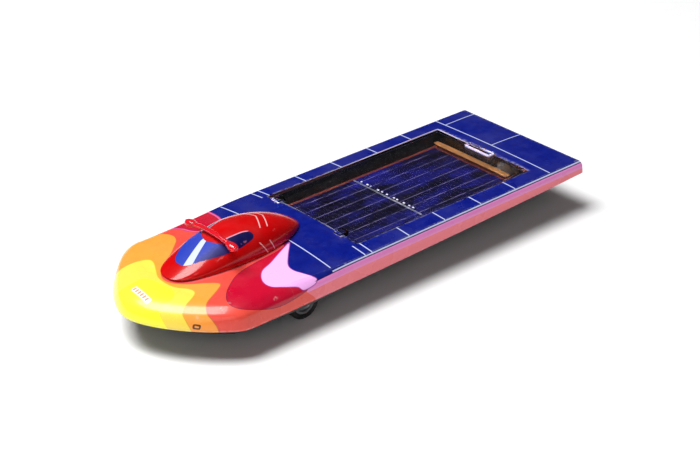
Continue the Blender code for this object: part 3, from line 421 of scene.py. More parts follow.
def canopy_arrays(stations=110, arch=96):
    """The canopy's outer face: an arch of y = w cos^0.87 a, z = deck + h sin^0.87 a at each station."""
    x = (CANOPY_X + (CANOPY_FRONT - CANOPY_REAR) / 2
         - (CANOPY_FRONT + CANOPY_REAR) / 2 * np.cos(np.linspace(0, math.pi, stations)))[:, None]
    ahead = np.clip((x - CANOPY_X) / CANOPY_FRONT, 0, 1)
    behind = np.clip((CANOPY_X - x) / CANOPY_REAR, 0, 1)
    rise = CANOPY_RISE * np.where(x >= CANOPY_X, 1 - ahead**1.5, (1 - behind**2) ** 0.8)
    angle = np.linspace(0, math.pi, arch)[None, :]
    cos, sin = np.cos(angle), np.sin(angle)
    y = canopy_half(x, 0.0) * np.copysign(np.abs(cos) ** 0.87, cos)
    inner = half_width(x) - SIDE_SHOULDER
    foot = crest_z(x) - (crest_z(x) - shoulder_z(x, 0.0)) * (y / inner) ** 2 + CANOPY_GAP
    z = foot + rise * np.clip(sin, 0, None) ** 0.87
    points = np.stack([np.broadcast_to(x, y.shape), y, z], -1)
    steps = np.linalg.norm(np.diff(points, axis=1), axis=-1)
    girth = np.concatenate([np.zeros((stations, 1)), np.cumsum(steps, axis=1)], axis=1)
    girth = girth[:, -1:] / 2 - girth
    flat = np.stack([points[..., 0], girth], -1)
    return points.reshape(-1, 3), grid_faces(stations, arch)[:, ::-1], flat.reshape(-1, 2)


# ------------------------------------------------------------------ finishes

def tint(red, green, blue):
    """A screen colour of 0 to 255 as the linear colour that shaders take."""
    c = np.array([red, green, blue]) / 255.0
    linear = np.where(c <= 0.04045, c / 12.92, ((c + 0.055) / 1.055) ** 2.4)
    return (*linear.tolist(), 1.0)


class Sheet:
    """Short calls for laying out one node tree."""

    def __init__(self, tree):
        self.tree = tree

    def put(self, socket, value):
        if isinstance(value, bpy.types.NodeSocket):
            self.tree.links.new(value, socket)
        else:
            socket.default_value = value

    def node(self, kind, sockets=None, **settings):
        made = self.tree.nodes.new(kind)
        for key, value in settings.items():
            setattr(made, key, value)
        for key, value in (sockets or {}).items():
            self.put(made.inputs[key], value)
        return made

    def math(self, operation, a, b=0.0, clamp=False):
        return self.node("ShaderNodeMath", {0: a, 1: b}, operation=operation, use_clamp=clamp).outputs[0]

    def mix(self, share, a, b):
        mixer = self.node("ShaderNodeMix", {0: share, 6: a, 7: b}, data_type="RGBA")
        return mixer.outputs[2]

    def cover(self, color, mask, share, fill):
        """Lays fill over color where mask is 1, as strongly as share."""
        return self.mix(self.times(mask, share), color, fill)

    def ramp(self, value, low, high, start=0.0, end=1.0):
        """Maps low..high smoothly to start..end."""
        sockets = {"Value": value, "From Min": low, "From Max": high, "To Min": start, "To Max": end}
        return self.node("ShaderNodeMapRange", sockets, interpolation_type="SMOOTHSTEP").outputs[0]

    def place(self):
        return self.node("ShaderNodeTexCoord").outputs["Object"]

    def axis(self, vector, name):
        return self.node("ShaderNodeSeparateXYZ", {0: vector}).outputs[name]

    def measure(self, name):
        """A float attribute of the piece."""
        return self.node("ShaderNodeAttribute", attribute_name=name).outputs["Fac"]

    def noise(self, vector, scale, detail=3.0, rough=0.5):
        sockets = {"Vector": vector, "Scale": scale, "Detail": detail, "Roughness": rough}
        return self.node("ShaderNodeTexNoise", sockets).outputs["Fac"]

    def stretch(self, vector, scale):
        return self.node("ShaderNodeMapping", {"Vector": vector, "Scale": scale}).outputs[0]

    def rise(self, value, low, high):
        """0 below low and 1 above high, both in millimetres."""
        return self.ramp(value, low * MM, high * MM)

    def fall(self, value, low, high):
        """1 below low and 0 above high, both in millimetres."""
        return self.ramp(value, low * MM, high * MM, 1.0, 0.0)

    def line(self, value, at, half, soft=0.06):
        """1 within half of at and 0 beyond it, with a soft edge, all in millimetres."""
        gap = self.math("ABSOLUTE", self.math("SUBTRACT", value, at * MM))
        return self.ramp(gap, half * MM - soft * MM, half * MM + soft * MM, 1.0, 0.0)

    def between(self, value, low, high):
        """1 from low to high, both in millimetres, with a soft edge at each."""
        low, high, soft = low * MM, high * MM, 0.05 * MM
        above = self.ramp(value, low - soft, low + soft)
        return self.times(above, self.ramp(value, high - soft, high + soft, 1.0, 0.0))

    def either(self, *masks):
        whole = masks[0]
        for mask in masks[1:]:
            whole = self.math("MAXIMUM", whole, mask)
        return whole

    def times(self, a, b):
        return self.math("MULTIPLY", a, b)

    def plus(self, a, b, clamp=False):
        return self.math("ADD", a, b, clamp)


def effect_group(name, inputs, outputs, lay):
    """A shader node group with named inputs and outputs; lay(sheet, inputs) returns the output sockets."""
    tree = bpy.data.node_groups.new(name, "ShaderNodeTree")
    for label, start in inputs.items():
        kind = "NodeSocketVector" if isinstance(start, tuple) else "NodeSocketFloat"
        socket = tree.interface.new_socket(label, in_out="INPUT", socket_type=kind)
        socket.default_value = start
    for label in outputs:
        tree.interface.new_socket(label, in_out="OUTPUT", socket_type="NodeSocketFloat")
    sheet = Sheet(tree)
    entry, leave = sheet.node("NodeGroupInput"), sheet.node("NodeGroupOutput")
    for label, value in zip(outputs, lay(sheet, entry.outputs)):
        sheet.put(leave.inputs[label], value)
    return tree


def lay_grain(sheet, given):
    """Moulded skin: fine noise for its height and broad noise for its cloudiness."""
    fine = sheet.noise(given["Place"], given["Scale"], 4.0, 0.6)
    broad = sheet.noise(given["Place"], sheet.times(given["Scale"], 0.07), 3.0)
    return fine, broad


def lay_wear(sheet, given):
    """Rubbed edges: where the surface turns outwards, broken up by noise."""
    turn = sheet.node("ShaderNodeNewGeometry").outputs["Pointiness"]
    spots = sheet.noise(given["Place"], 900.0, 4.0, 0.65)
    raised = sheet.ramp(turn, 0.52, 0.6)
    return (sheet.times(sheet.times(raised, sheet.ramp(spots, 0.42, 0.62)), given["Amount"]),)


def lay_dust(sheet, given):
    """Dust: thicker on upward faces, in soft clouds with fine specks."""
    up = sheet.axis(sheet.node("ShaderNodeNewGeometry").outputs["Normal"], "Z")
    cloud = sheet.ramp(sheet.noise(given["Place"], 90.0, 5.0, 0.6), 0.35, 0.75)
    speck = sheet.ramp(sheet.noise(given["Place"], 1500.0, 2.0), 0.68, 0.76)
    film = sheet.times(cloud, sheet.ramp(up, 0.1, 0.9))
    return (sheet.times(sheet.plus(film, sheet.times(speck, 0.6)), given["Amount"]),)


AT = {"Place": (0.0, 0.0, 0.0)}
GRAIN = effect_group("moulded_grain", {**AT, "Scale": 2500.0}, ("Height", "Cloud"), lay_grain)
WEAR = effect_group("edge_wear", {**AT, "Amount": 1.0}, ("Mask",), lay_wear)
DUST = effect_group("dust_film", {**AT, "Amount": 0.1}, ("Mask",), lay_dust)


class Finish(Sheet):
    """A material being laid out: one Principled shader, with colour, gloss and relief added to it."""

    def __init__(self, name):
        self.material = bpy.data.materials.new(name)
        self.material.use_nodes = True
        super().__init__(self.material.node_tree)
        self.shader = self.tree.nodes["Principled BSDF"]
        self.at = self.place()

    def grouped(self, group, **values):
        sockets = {"Place": self.at, **values}
        return self.node("ShaderNodeGroup", sockets, node_tree=group).outputs

    def rubbed(self, amount):
        return self.grouped(WEAR, Amount=amount)["Mask"]

    def dusted(self, amount):
        return self.grouped(DUST, Amount=amount)["Mask"]

    def fix(self, **values):
        """Constants, set on the shader's own sockets."""
        for key, value in values.items():
            self.shader.inputs[key.replace("_", " ")].default_value = value

    def relief(self, height, strength, distance):
        bump = self.node("ShaderNodeBump", {"Height": height, "Strength": strength, "Distance": distance})
        self.put(self.shader.inputs["Normal"], bump.outputs[0])

    def paint(self, color, roughness):
        self.put(self.shader.inputs["Base Color"], color)
        self.put(self.shader.inputs["Roughness"], roughness)
        return self.material


def moulded(name, color, rough, grain=2500.0, depth=0.02, dust=0.05, wear=0.35, worn=None, **constants):
    """Plain moulded plastic, rubber or cast skin: grain, clouded gloss, rubbed edges and dust."""
    finish = Finish(name)
    grained = finish.grouped(GRAIN, Scale=grain)
    rub = finish.rubbed(wear)
    film = finish.dusted(dust)
    deep = tuple(0.8 * c for c in color[:3]) + (1.0,)
    base = finish.mix(grained["Cloud"], color, deep)
    pale = worn or tuple(min(1.0, c * 1.6 + 0.04) for c in color[:3]) + (1.0,)
    base = finish.mix(film, finish.mix(rub, base, pale), tint(170, 165, 155))
    gloss = finish.plus(rough - 0.05, finish.times(grained["Cloud"], 0.12))
    finish.relief(grained["Height"], 0.35, depth * MM)
    finish.fix(**constants)
    return finish.paint(base, finish.plus(gloss, finish.times(film, 0.4), clamp=True))


def metal(name, color, rough, brushed=(1.0, 1.0, 1.0), tarnish=0.15):
    """Bare metal: drawn or turned scratches, faint tarnish clouds and brighter rubbed edges."""
    finish = Finish(name)
    drawn = finish.noise(finish.stretch(finish.at, brushed), 4000.0, 3.0, 0.6)
    cloud = finish.ramp(finish.noise(finish.at, 260.0, 4.0), 0.4, 0.75)
    rub = finish.rubbed(0.6)
    dull = tuple(0.55 * c for c in color[:3]) + (1.0,)
    base = finish.mix(finish.times(cloud, tarnish), color, dull)
    base = finish.mix(rub, base, tuple(min(1.0, c * 1.25) for c in color[:3]) + (1.0,))
    finish.relief(drawn, 0.25, 0.01 * MM)
    finish.fix(Metallic=1.0)
    return finish.paint(base, finish.plus(rough, finish.times(drawn, 0.15)))


DECK_BLUE = tint(0, 14, 116)
FINE_LINE = tint(215, 225, 255)
TICK_X = (-46.2, -32.2, -17.8, -4.0, 9.9, 12.4)
CROSS_X = (-61.1, 24.2)


def livery_finish():
    """The shell's print: a blue deck ruled with pale lines, pink and salmon sides and flame bands.

    Every band is a distance inside its own closed outline, so its edge stays sharp; a thin darker
    line follows each edge. The pink side carries a painted highlight, lighter just under the shoulder,
    and the salmon wall carries painted shade, darker towards the lip.
    """
    finish = Finish("livery_print")
    x, y = finish.axis(finish.at, "X"), finish.axis(finish.at, "Y")
    side = finish.math("ABSOLUTE", y)
    depth = finish.measure("depth")
    mottle = finish.noise(finish.at, 420.0, 5.0, 0.65)
    weave = finish.noise(finish.stretch(finish.at, (1.0, 2.2, 1.0)), 2600.0, 2.0)
    color = finish.mix(finish.ramp(mottle, 0.3, 0.7), DECK_BLUE, tint(2, 24, 130))
    half = 0.17
    within = finish.fall(side, 24.1, 24.2)
    ruled = finish.times(finish.line(x, CROSS_X[0], half), within)
    within = finish.fall(side, 23.6, 23.7)
    front = finish.times(finish.line(x, CROSS_X[1], half), within)
    for at in TICK_X:
        ruled = finish.either(ruled, finish.line(x, at, half))
    beside = finish.either(finish.rise(side, 19.25, 19.3), finish.rise(x, -57.0, -57.1))
    ruled = finish.either(finish.times(ruled, beside), front)
    behind = finish.fall(x, -61.2, -61.1)
    lengthwise = finish.either(finish.line(y, 0.0, 0.13), finish.line(y, -19.9, 0.13))
    ruled = finish.either(ruled, finish.times(behind, lengthwise))
    rail = finish.line(finish.measure("rail"), 0.0, 0.2)
    rail = finish.times(rail, finish.fall(x, 24.2, 24.4))
    color = finish.cover(color, finish.either(ruled, rail), 0.85, FINE_LINE)
    keyline = finish.between(finish.measure("rail"), 0.22, 0.5)
    keyline = finish.times(keyline, finish.fall(x, 30, 31))
    # painted highlight: the pink is lighter just under the shoulder, where the bevel catches the overhead
    # light; painted shade: the salmon darkens down the wall towards the lip
    pink = finish.mix(finish.rise(depth, 0.2, 1.6), tint(255, 178, 250), tint(240, 140, 205))
    salmon = finish.mix(finish.rise(depth, 1.6, 4.5), tint(250, 130, 148), tint(244, 116, 126))
    bands = (
        ("band_side", pink, None),
        ("band_wall", salmon, None),
        ("band_salmon", finish.mix(mottle, tint(240, 84, 66), tint(228, 66, 58)), None),
        ("band_rim", tint(236, 92, 150), tint(150, 40, 100)),
        ("band_crimson", finish.mix(mottle, tint(200, 8, 44), tint(188, 3, 48)), tint(130, 10, 50)),
        ("band_pink", tint(253, 184, 250), tint(150, 60, 150)),
        ("band_foot", tint(236, 84, 84), None),
        ("band_orange", finish.mix(mottle, tint(255, 166, 62), tint(250, 150, 56)), tint(190, 90, 40)),
        ("band_gold", finish.mix(mottle, tint(253, 226, 84), tint(250, 214, 76)), tint(214, 160, 40)),
        ("band_yellow", finish.mix(mottle, tint(255, 252, 60), tint(253, 246, 48)), tint(235, 215, 60)),
    )
    for name, fill, edge in bands:
        inside = finish.measure(name)
        if edge is not None:
            color = finish.cover(color, finish.line(inside, 0.0, 0.13), 0.75, edge)
        color = finish.mix(finish.rise(inside, -0.05, 0.05), color, fill)
        if edge is not None:
            color = finish.cover(color, finish.between(inside, -0.14, 0.14), 0.6, edge)
    color = finish.cover(color, keyline, 0.8, tint(45, 10, 60))
    plug = finish.times(finish.between(finish.measure("plug"), 0.0, 0.42), 0.95)
    color = finish.mix(plug, color, tint(62, 30, 14))
    badge = finish.between(finish.measure("badge"), 0.0, 20)
    wave = finish.math("SINE", finish.times(finish.measure("badge_run"), 5200.0))
    field = finish.between(finish.measure("badge"), 0.35, 20)
    bars = finish.times(finish.ramp(wave, -0.1, 0.1), field)
    plate = finish.mix(bars, tint(250, 240, 235), tint(190, 130, 120))
    color = finish.cover(color, badge, 0.9, plate)
    seam = finish.between(finish.measure("seam"), -0.07, 0.07)
    seam = finish.times(seam, finish.rise(depth, 0.8, 1.2))
    color = finish.cover(color, seam, 0.35, tint(255, 215, 205))
    wear = finish.rubbed(0.25)
    color = finish.mix(wear, color, tint(235, 225, 225))
    dust = finish.dusted(0.035)
    color = finish.mix(dust, color, tint(190, 185, 180))
    grained = finish.grouped(GRAIN, Scale=1800.0)
    finish.relief(finish.plus(finish.times(weave, 0.5), grained["Height"]), 0.10, 0.02 * MM)
    finish.fix(Coat_Weight=0.3, Coat_Roughness=0.06, Specular_IOR_Level=0.3)
    rough = finish.plus(0.2, finish.times(grained["Cloud"], 0.14))
    return finish.paint(color, finish.plus(rough, finish.times(dust, 0.8), clamp=True))


def canopy_finish():
    """Glossy red, with a printed windscreen, side windows, a glint stripe and pin lines, and a painted
    highlight along the top edge of each side window.
    """
    finish = Finish("canopy_print")
    mottle = finish.noise(finish.at, 300.0, 4.0)
    color = finish.mix(mottle, tint(206, 0, 3), tint(182, 0, 3))
    glass = finish.measure("windscreen")
    speck = finish.noise(finish.at, 2400.0, 3.0, 0.7)
    run = finish.rise(finish.measure("girth"), -2.0, 7.5)
    blue = finish.mix(speck, tint(34, 66, 186), tint(18, 38, 150))
    blue = finish.mix(finish.ramp(run, 0.45, 1.0), blue, tint(26, 20, 92))
    color = finish.cover(color, finish.between(glass, -0.22, 0.05), 0.5, tint(120, 0, 20))
    printed = finish.rise(glass, -0.05, 0.05)
    color = finish.mix(printed, color, blue)
    stripe = finish.times(finish.rise(finish.measure("glint"), -0.05, 0.05), printed)
    color = finish.cover(color, stripe, 0.9, tint(205, 214, 240))
    window = finish.measure("side_window")
    navy = finish.mix(speck, tint(14, 12, 84), tint(6, 6, 52))
    color = finish.mix(finish.rise(window, -0.05, 0.05), color, navy)
    # painted highlight: a pale pink line along the top edge of each side window, where the canopy turns up
    # towards the overhead light
    upper = finish.rise(finish.measure("window_top"), -0.1, 0.1)
    top = finish.times(finish.between(window, -0.2, 0.12), upper)
    color = finish.cover(color, top, 0.8, tint(240, 170, 200))
    pins = [finish.line(finish.measure(name), 0.0, 0.17) for name in ("pin_a", "pin_b")]
    girth = finish.math("ABSOLUTE", finish.measure("girth"))
    above = finish.fall(girth, 5.2, 5.4)
    shown = finish.either(above, finish.rise(girth, 9.2, 9.4))
    color = finish.cover(color, finish.times(finish.either(*pins), shown), 0.85, tint(255, 205, 205))
    dust = finish.dusted(0.03)
    grained = finish.grouped(GRAIN, Scale=1500.0)
    color = finish.mix(finish.rubbed(0.25), color, tint(250, 140, 140))
    color = finish.mix(dust, color, tint(200, 180, 180))
    finish.relief(grained["Height"], 0.06, 0.02 * MM)
    finish.put(finish.shader.inputs["Coat Weight"], finish.ramp(glass, -0.05 * MM, 0.05 * MM, 0.3, 0.02))
    finish.fix(Coat_Roughness=0.04, Specular_IOR_Level=0.22)
    rough = finish.plus(0.16, finish.times(grained["Cloud"], 0.1))
    return finish.paint(color, finish.plus(rough, finish.times(printed, 0.3)))


def cell_finish():
    """A dark blue cell: crystal clouds, fine silver collector lines along it and faint fingers across."""
    finish = Finish("solar_cell")
    x, y = finish.axis(finish.at, "X"), finish.axis(finish.at, "Y")
    cloud = finish.noise(finish.stretch(finish.at, (0.6, 1.3, 1.0)), 95.0, 5.0, 0.62)
    crystal = finish.node("ShaderNodeTexVoronoi", {"Vector": finish.at, "Scale": 480.0}).outputs["Color"]
    crystal = finish.node("ShaderNodeSeparateColor", {0: crystal}).outputs[0]
    color = finish.mix(finish.ramp(cloud, 0.42, 0.72), tint(2, 0, 14), tint(14, 15, 92))
    color = finish.cover(color, crystal, 0.25, tint(10, 6, 52))
    haze = finish.times(finish.rise(x, -12, 10), finish.rise(y, 6, -18))
    color = finish.cover(color, haze, 0.5, tint(16, 8, 30))
    pitch = 4.25 * MM
    across = finish.math("PINGPONG", finish.plus(y, 1.3 * MM), pitch / 2)
    lines = finish.line(across, 0.0, 0.09, 0.05)
    broken = finish.ramp(finish.noise(finish.stretch(finish.at, (0.3, 1.0, 1.0)), 700.0, 3.0), 0.32, 0.55)
    along = finish.math("PINGPONG", x, 0.9 * MM)
    fingers = finish.line(along, 0.0, 0.05, 0.04)
    silver = finish.either(finish.times(lines, broken), finish.times(fingers, 0.16))
    color = finish.cover(color, silver, 0.5, tint(150, 140, 185))
    finish.relief(silver, 0.3, 0.03 * MM)
    finish.fix(Specular_IOR_Level=0.1)
    return finish.paint(color, finish.plus(0.34, finish.times(cloud, 0.1)))


def clear_finish():
    """Clear moulded plastic that lets lamp light through, with faint flow marks and handling haze."""
    finish = Finish("clear_case")
    flow = finish.noise(finish.stretch(finish.at, (0.4, 1.0, 1.0)), 160.0, 4.0)
    grained = finish.grouped(GRAIN, Scale=1200.0)
    finish.relief(grained["Height"], 0.05, 0.01 * MM)
    finish.fix(Transmission_Weight=1.0, IOR=1.2, Specular_IOR_Level=0.35)
    color = finish.mix(flow, (0.93, 0.94, 0.97, 1.0), (0.86, 0.88, 0.93, 1.0))
    finish.paint(color, finish.ramp(flow, 0.3, 0.8, 0.02, 0.08))
    lamp = finish.node("ShaderNodeLightPath").outputs["Is Shadow Ray"]
    see = finish.node("ShaderNodeBsdfTransparent", {0: (0.85, 0.87, 0.92, 1.0)})
    joined = finish.node("ShaderNodeMixShader", {0: lamp, 1: finish.shader.outputs[0], 2: see.outputs[0]})
    finish.put(finish.tree.nodes["Material Output"].inputs["Surface"], joined.outputs[0])
    return finish.material


def mirror_finish():
    """Red clear plastic: deep colour, flow marks and a bright coat."""
    finish = Finish("mirror_plastic")
    flow = finish.noise(finish.stretch(finish.at, (1.0, 0.3, 1.0)), 420.0, 4.0)
    grained = finish.grouped(GRAIN, Scale=1500.0)
    finish.relief(grained["Height"], 0.08, 0.02 * MM)
    finish.fix(Transmission_Weight=0.35, IOR=1.45, Coat_Weight=0.5)
    color = finish.mix(flow, tint(250, 40, 60), tint(226, 14, 34))
    return finish.paint(color, finish.ramp(flow, 0.3, 0.8, 0.08, 0.2))


def board_finish():
    """Brown laminate with woven glass showing faintly through it."""
    finish = Finish("panel_laminate")
    x, y = finish.axis(finish.at, "X"), finish.axis(finish.at, "Y")
    warp = finish.math("SINE", finish.times(x, 9000.0))
    weft = finish.math("SINE", finish.times(y, 9000.0))
    weave = finish.ramp(finish.times(warp, weft), -0.4, 0.6)
    blot = finish.noise(finish.at, 180.0, 5.0, 0.6)
    color = finish.mix(blot, tint(118, 48, 30), tint(78, 28, 26))
    color = finish.mix(finish.times(weave, 0.3), color, tint(148, 76, 48))
    finish.relief(weave, 0.2, 0.02 * MM)
    return finish.paint(color, finish.ramp(blot, 0.3, 0.8, 0.35, 0.6))


# ------------------------------------------------------------------ livery outlines

# Stops of each outline on the flattened skin, in millimetres: +x to the nose and +y to the left, with the
# sides laid out beside the deck. The edges that show were measured, and the rest of each loop closes it.
BANDS = {
    "band_yellow": (
        (63.9, 1.0), (63.3, 4.5), (63.7, 6.7), (65.7, 8.5), (68.3, 8.4), (70.5, 8.9), (71.7, 10.6),
        (73.0, 14.0), (77.0, 22.0), (92.0, 14.0), (92.0, -16.0), (76.0, -10.0), (71.8, -6.6), (68.2, -5.1),
        (65.9, -4.9), (64.3, -2.6),
    ),
    "band_gold": (
        (62.7, 1.4), (62.0, 4.8), (59.9, 8.1), (59.7, 10.4), (61.9, 12.0), (65.0, 13.1), (67.0, 14.4),
        (67.9, 17.0), (68.6, 19.6), (71.0, 27.0), (92.0, 24.0), (92.0, -30.0), (72.0, -22.0),
        (67.5, -16.4), (65.4, -15.3), (62.6, -14.2), (59.6, -13.0), (58.1, -11.2), (58.6, -8.8),
        (60.3, -5.7), (62.2, -2.2),
    ),
    "band_orange": (
        (62.0, 0.6), (61.0, 3.5), (58.4, 6.6), (55.2, 9.2), (52.6, 12.0), (54.9, 13.8), (59.6, 15.8),
        (61.5, 17.4), (62.5, 19.3), (62.5, 22.0), (62.8, 25.0), (65.0, 33.0), (92.0, 32.0), (92.0, -36.0),
        (60.0, -34.0), (53.0, -26.6), (48.8, -23.8), (46.0, -21.4), (45.2, -18.2), (46.5, -15.0),
        (49.8, -11.8), (53.2, -8.9), (56.8, -6.8), (59.3, -4.6), (61.3, -2.0),
    ),
    "band_crimson_near": (
        (24.8, 7.6), (30.0, 8.2), (36.0, 9.6), (39.4, 10.1), (43.7, 10.8), (47.0, 11.8), (49.8, 13.4),
        (53.5, 16.1), (55.7, 18.8), (56.2, 21.5), (54.4, 23.9), (50.5, 25.6), (45.1, 27.2), (40.0, 27.4),
        (33.6, 26.4), (33.6, 24.4), (37.0, 21.5), (38.0, 18.8), (36.5, 15.6), (30.5, 11.6),
    ),
    "band_crimson_far": (
        (27.2, -9.6), (31.0, -11.6), (37.2, -13.6), (39.6, -16.4), (40.4, -20.0), (42.4, -24.0),
        (40.0, -27.0), (33.0, -26.6), (29.6, -24.6), (29.3, -22.0), (29.8, -18.6), (30.4, -16.0),
        (28.6, -12.6),
    ),
    "band_pink_near": (
        (24.9, 7.6), (27.1, 8.4), (31.5, 10.5), (35.9, 12.6), (39.7, 14.0), (42.1, 16.3), (43.2, 18.9),
        (42.5, 21.3), (39.6, 23.2), (36.3, 24.7), (34.8, 26.2), (31.0, 26.0), (29.8, 25.0), (30.7, 23.6),
        (32.0, 21.2), (33.1, 18.8), (32.7, 16.2), (29.5, 12.4),
    ),
}
NOSE_FIELD = (
    (41.0, 0.0), (31.0, 6.5), (27.0, 7.6), (30.0, 8.6), (34.0, 10.0), (39.4, 12.0), (43.0, 16.0),
    (44.0, 20.0), (42.4, 23.2), (37.0, 25.4), (34.0, 27.0), (33.0, 33.0), (60.0, 42.0), (96.0, 36.0),
    (96.0, -40.0), (60.0, -44.0), (30.0, -36.0), (28.6, -27.0), (30.2, -24.6), (30.0, -18.0),
    (29.0, -12.0), (26.6, -8.6), (31.0, -6.5),
)
CANOPY_PRINTS = {
    "windscreen": (
        (47.8, 0.0), (46.9, 2.8), (45.2, 5.4), (44.1, 7.2), (46.0, 7.7), (49.4, 6.5), (53.1, 4.6),
        (56.3, 2.4), (57.0, 0.0), (56.3, -2.4), (53.1, -4.6), (49.4, -6.5), (46.0, -7.7), (44.1, -7.2),
        (45.2, -5.4), (46.9, -2.8),
    ),
    "glint": ((46.9, -1.2), (48.4, -1.2), (57.6, 2.0), (57.8, 3.0), (55.2, 3.6), (46.9, -0.1)),
    "side_window": (
        (44.3, 4.1), (41.2, 4.4), (38.2, 4.9), (36.8, 5.6), (36.4, 6.8), (37.4, 7.8), (39.8, 8.3),
        (42.6, 8.3), (43.4, 6.6),
    ),
}


def shell_fields(flat, depth):
    """Every measure that the livery reads, worked out for all of the skin's points at once."""
    plan = flat / MM
    found = {name: inside_distance(plan, spline_loop(stops)) for name, stops in BANDS.items()}
    fields = {name: found[name] for name in ("band_yellow", "band_gold", "band_orange")}
    fields["band_crimson"] = np.maximum(found["band_crimson_near"], found["band_crimson_far"])
    fields["band_pink"] = found["band_pink_near"]
    fields["band_rim"] = found["band_crimson_far"] + 0.85
    x = np.linspace(-CANOPY_REAR, CANOPY_FRONT, 160)[1:-1] + CANOPY_X
    half = canopy_half(x, 0.0)
    foot = np.concatenate([np.stack([x, half], 1), np.stack([x, -half], 1)[::-1]]) / MM
    fields["band_foot"] = np.minimum(inside_distance(plan, foot) + 0.8, (plan[:, 0] - 27.0) * 0.3)
    fields["band_salmon"] = inside_distance(plan, spline_loop(NOSE_FIELD))
    x, y = plan[:, 0], np.abs(plan[:, 1])
    beyond = y - half_width(flat[:, 0]) / MM
    fields["rail"] = beyond + 0.8
    fields["band_side"] = np.maximum(np.where(x < 46, beyond + 0.35, -1.0), -74.6 - x)
    fields["band_wall"] = np.maximum(np.where(x < 56, beyond - 1.45, -1.0), -76.4 - x)
    fields["plug"] = rounded_plate(plan, (66.7, 19.7), (0.7, 1.2), 38.0, 0.45)
    fields["badge"], fields["badge_run"] = badge_plate(plan)
    fields["seam"] = np.minimum(np.abs(x - 38.3) + (y < 20) * 9, np.abs(x - 64.9) + (y < 17) * 9)
    return {**{name: values * MM for name, values in fields.items()}, "depth": depth}


def turned_about(plan, centre, degrees):
    angle = math.radians(degrees)
    x, y = plan[:, 0] - centre[0], plan[:, 1] - centre[1]
    return x * math.cos(angle) + y * math.sin(angle), y * math.cos(angle) - x * math.sin(angle)


def rounded_plate(plan, centre, half, degrees, corner):
    """Distance inside a rounded rectangle, positive inside."""
    u, v = turned_about(plan, centre, degrees)
    du, dv = np.abs(u) - half[0] + corner, np.abs(v) - half[1] + corner
    return corner - np.hypot(np.maximum(du, 0), np.maximum(dv, 0)) - np.minimum(np.maximum(du, dv), 0)


def badge_plate(plan):
    """A small plain plate on the nose, with the run along it for its bars."""
    run, _ = turned_about(plan, (70.2, 0.9), 84.0)
    return rounded_plate(plan, (70.2, 0.9), (4.1, 0.95), 84.0, 0.15), run


def canopy_fields(flat):
    """The canopy's printed shapes, mirrored to both sides but for the glint stripe."""
    plan = flat / MM
    folded = np.stack([plan[:, 0], np.abs(plan[:, 1])], 1)
    fields = {
        "windscreen": inside_distance(plan, spline_loop(CANOPY_PRINTS["windscreen"])),
        "glint": inside_distance(plan, np.asarray(CANOPY_PRINTS["glint"], float)),
        "side_window": inside_distance(folded, spline_loop(CANOPY_PRINTS["side_window"])),
        "window_top": 5.2 - folded[:, 1],
        "girth": plan[:, 1],
    }
    run = folded[:, 1]
    fields["pin_a"] = plan[:, 0] - np.where(run < 7, 30.45 + 0.5 * run, 35.2 - 0.72 * (run - 10))
    fields["pin_b"] = plan[:, 0] - np.where(run < 7, 28.1 + 0.46 * run, 32.0 - 0.52 * (run - 9.3))
    return {name: values * MM for name, values in fields.items()}


# ------------------------------------------------------------------ pieces

# Place along the body and top height of each screw boss, and the radii and foot that they share
BOSSES = (("front", 63.5, 15.0), ("middle", 13.4, 15.6))
BOSS_BORE, BOSS_OUTER, BOSS_FOOT = 0.85, 1.9, 7.9


def make_shell():
    points, faces, flat, depth = shell_skin_arrays()
    fields = shell_fields(flat, depth)
    skin = surface("shell_skin", points, faces, "chassis", livery_finish(), fields, sharp=40)
    thicken(skin, SHELL_WALL, BLACK_BACK)
    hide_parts("body_shell")
    for place, x, top in BOSSES:
        foot = BOSS_FOOT
        ring = [(BOSS_BORE, foot), (BOSS_OUTER, foot), (BOSS_OUTER, top), (BOSS_BORE, top)]
        upright("shell_boss_" + place, np.array(ring) * MM, (x * MM, 0.0), BLACK_BACK)


def upright(name, profile, centre, mat, steps=40):
    """A closed profile of (radius, z) turned about a vertical line through centre."""
    radius, z = np.append(profile[:, 0], profile[0, 0]), np.append(profile[:, 1], profile[0, 1])
    angle = np.linspace(0, 2 * math.pi, steps, endpoint=False)[:, None]
    x, y = centre[0] + radius * np.cos(angle), centre[1] + radius * np.sin(angle)
    points = np.stack([x, y, np.broadcast_to(z, x.shape)], -1).reshape(-1, 3)
    faces = grid_faces(steps, len(z), around=True)
    return surface(name, points, faces, "chassis", mat, sharp=35)


def make_canopy():
    points, faces, flat = canopy_arrays()
    fields = canopy_fields(flat)
    skin = surface("canopy_skin", points, faces, "chassis", canopy_finish(), fields)
    thicken(skin, CANOPY_WALL, moulded("canopy_inside", tint(176, 14, 16), 0.45))
    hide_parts("canopy")


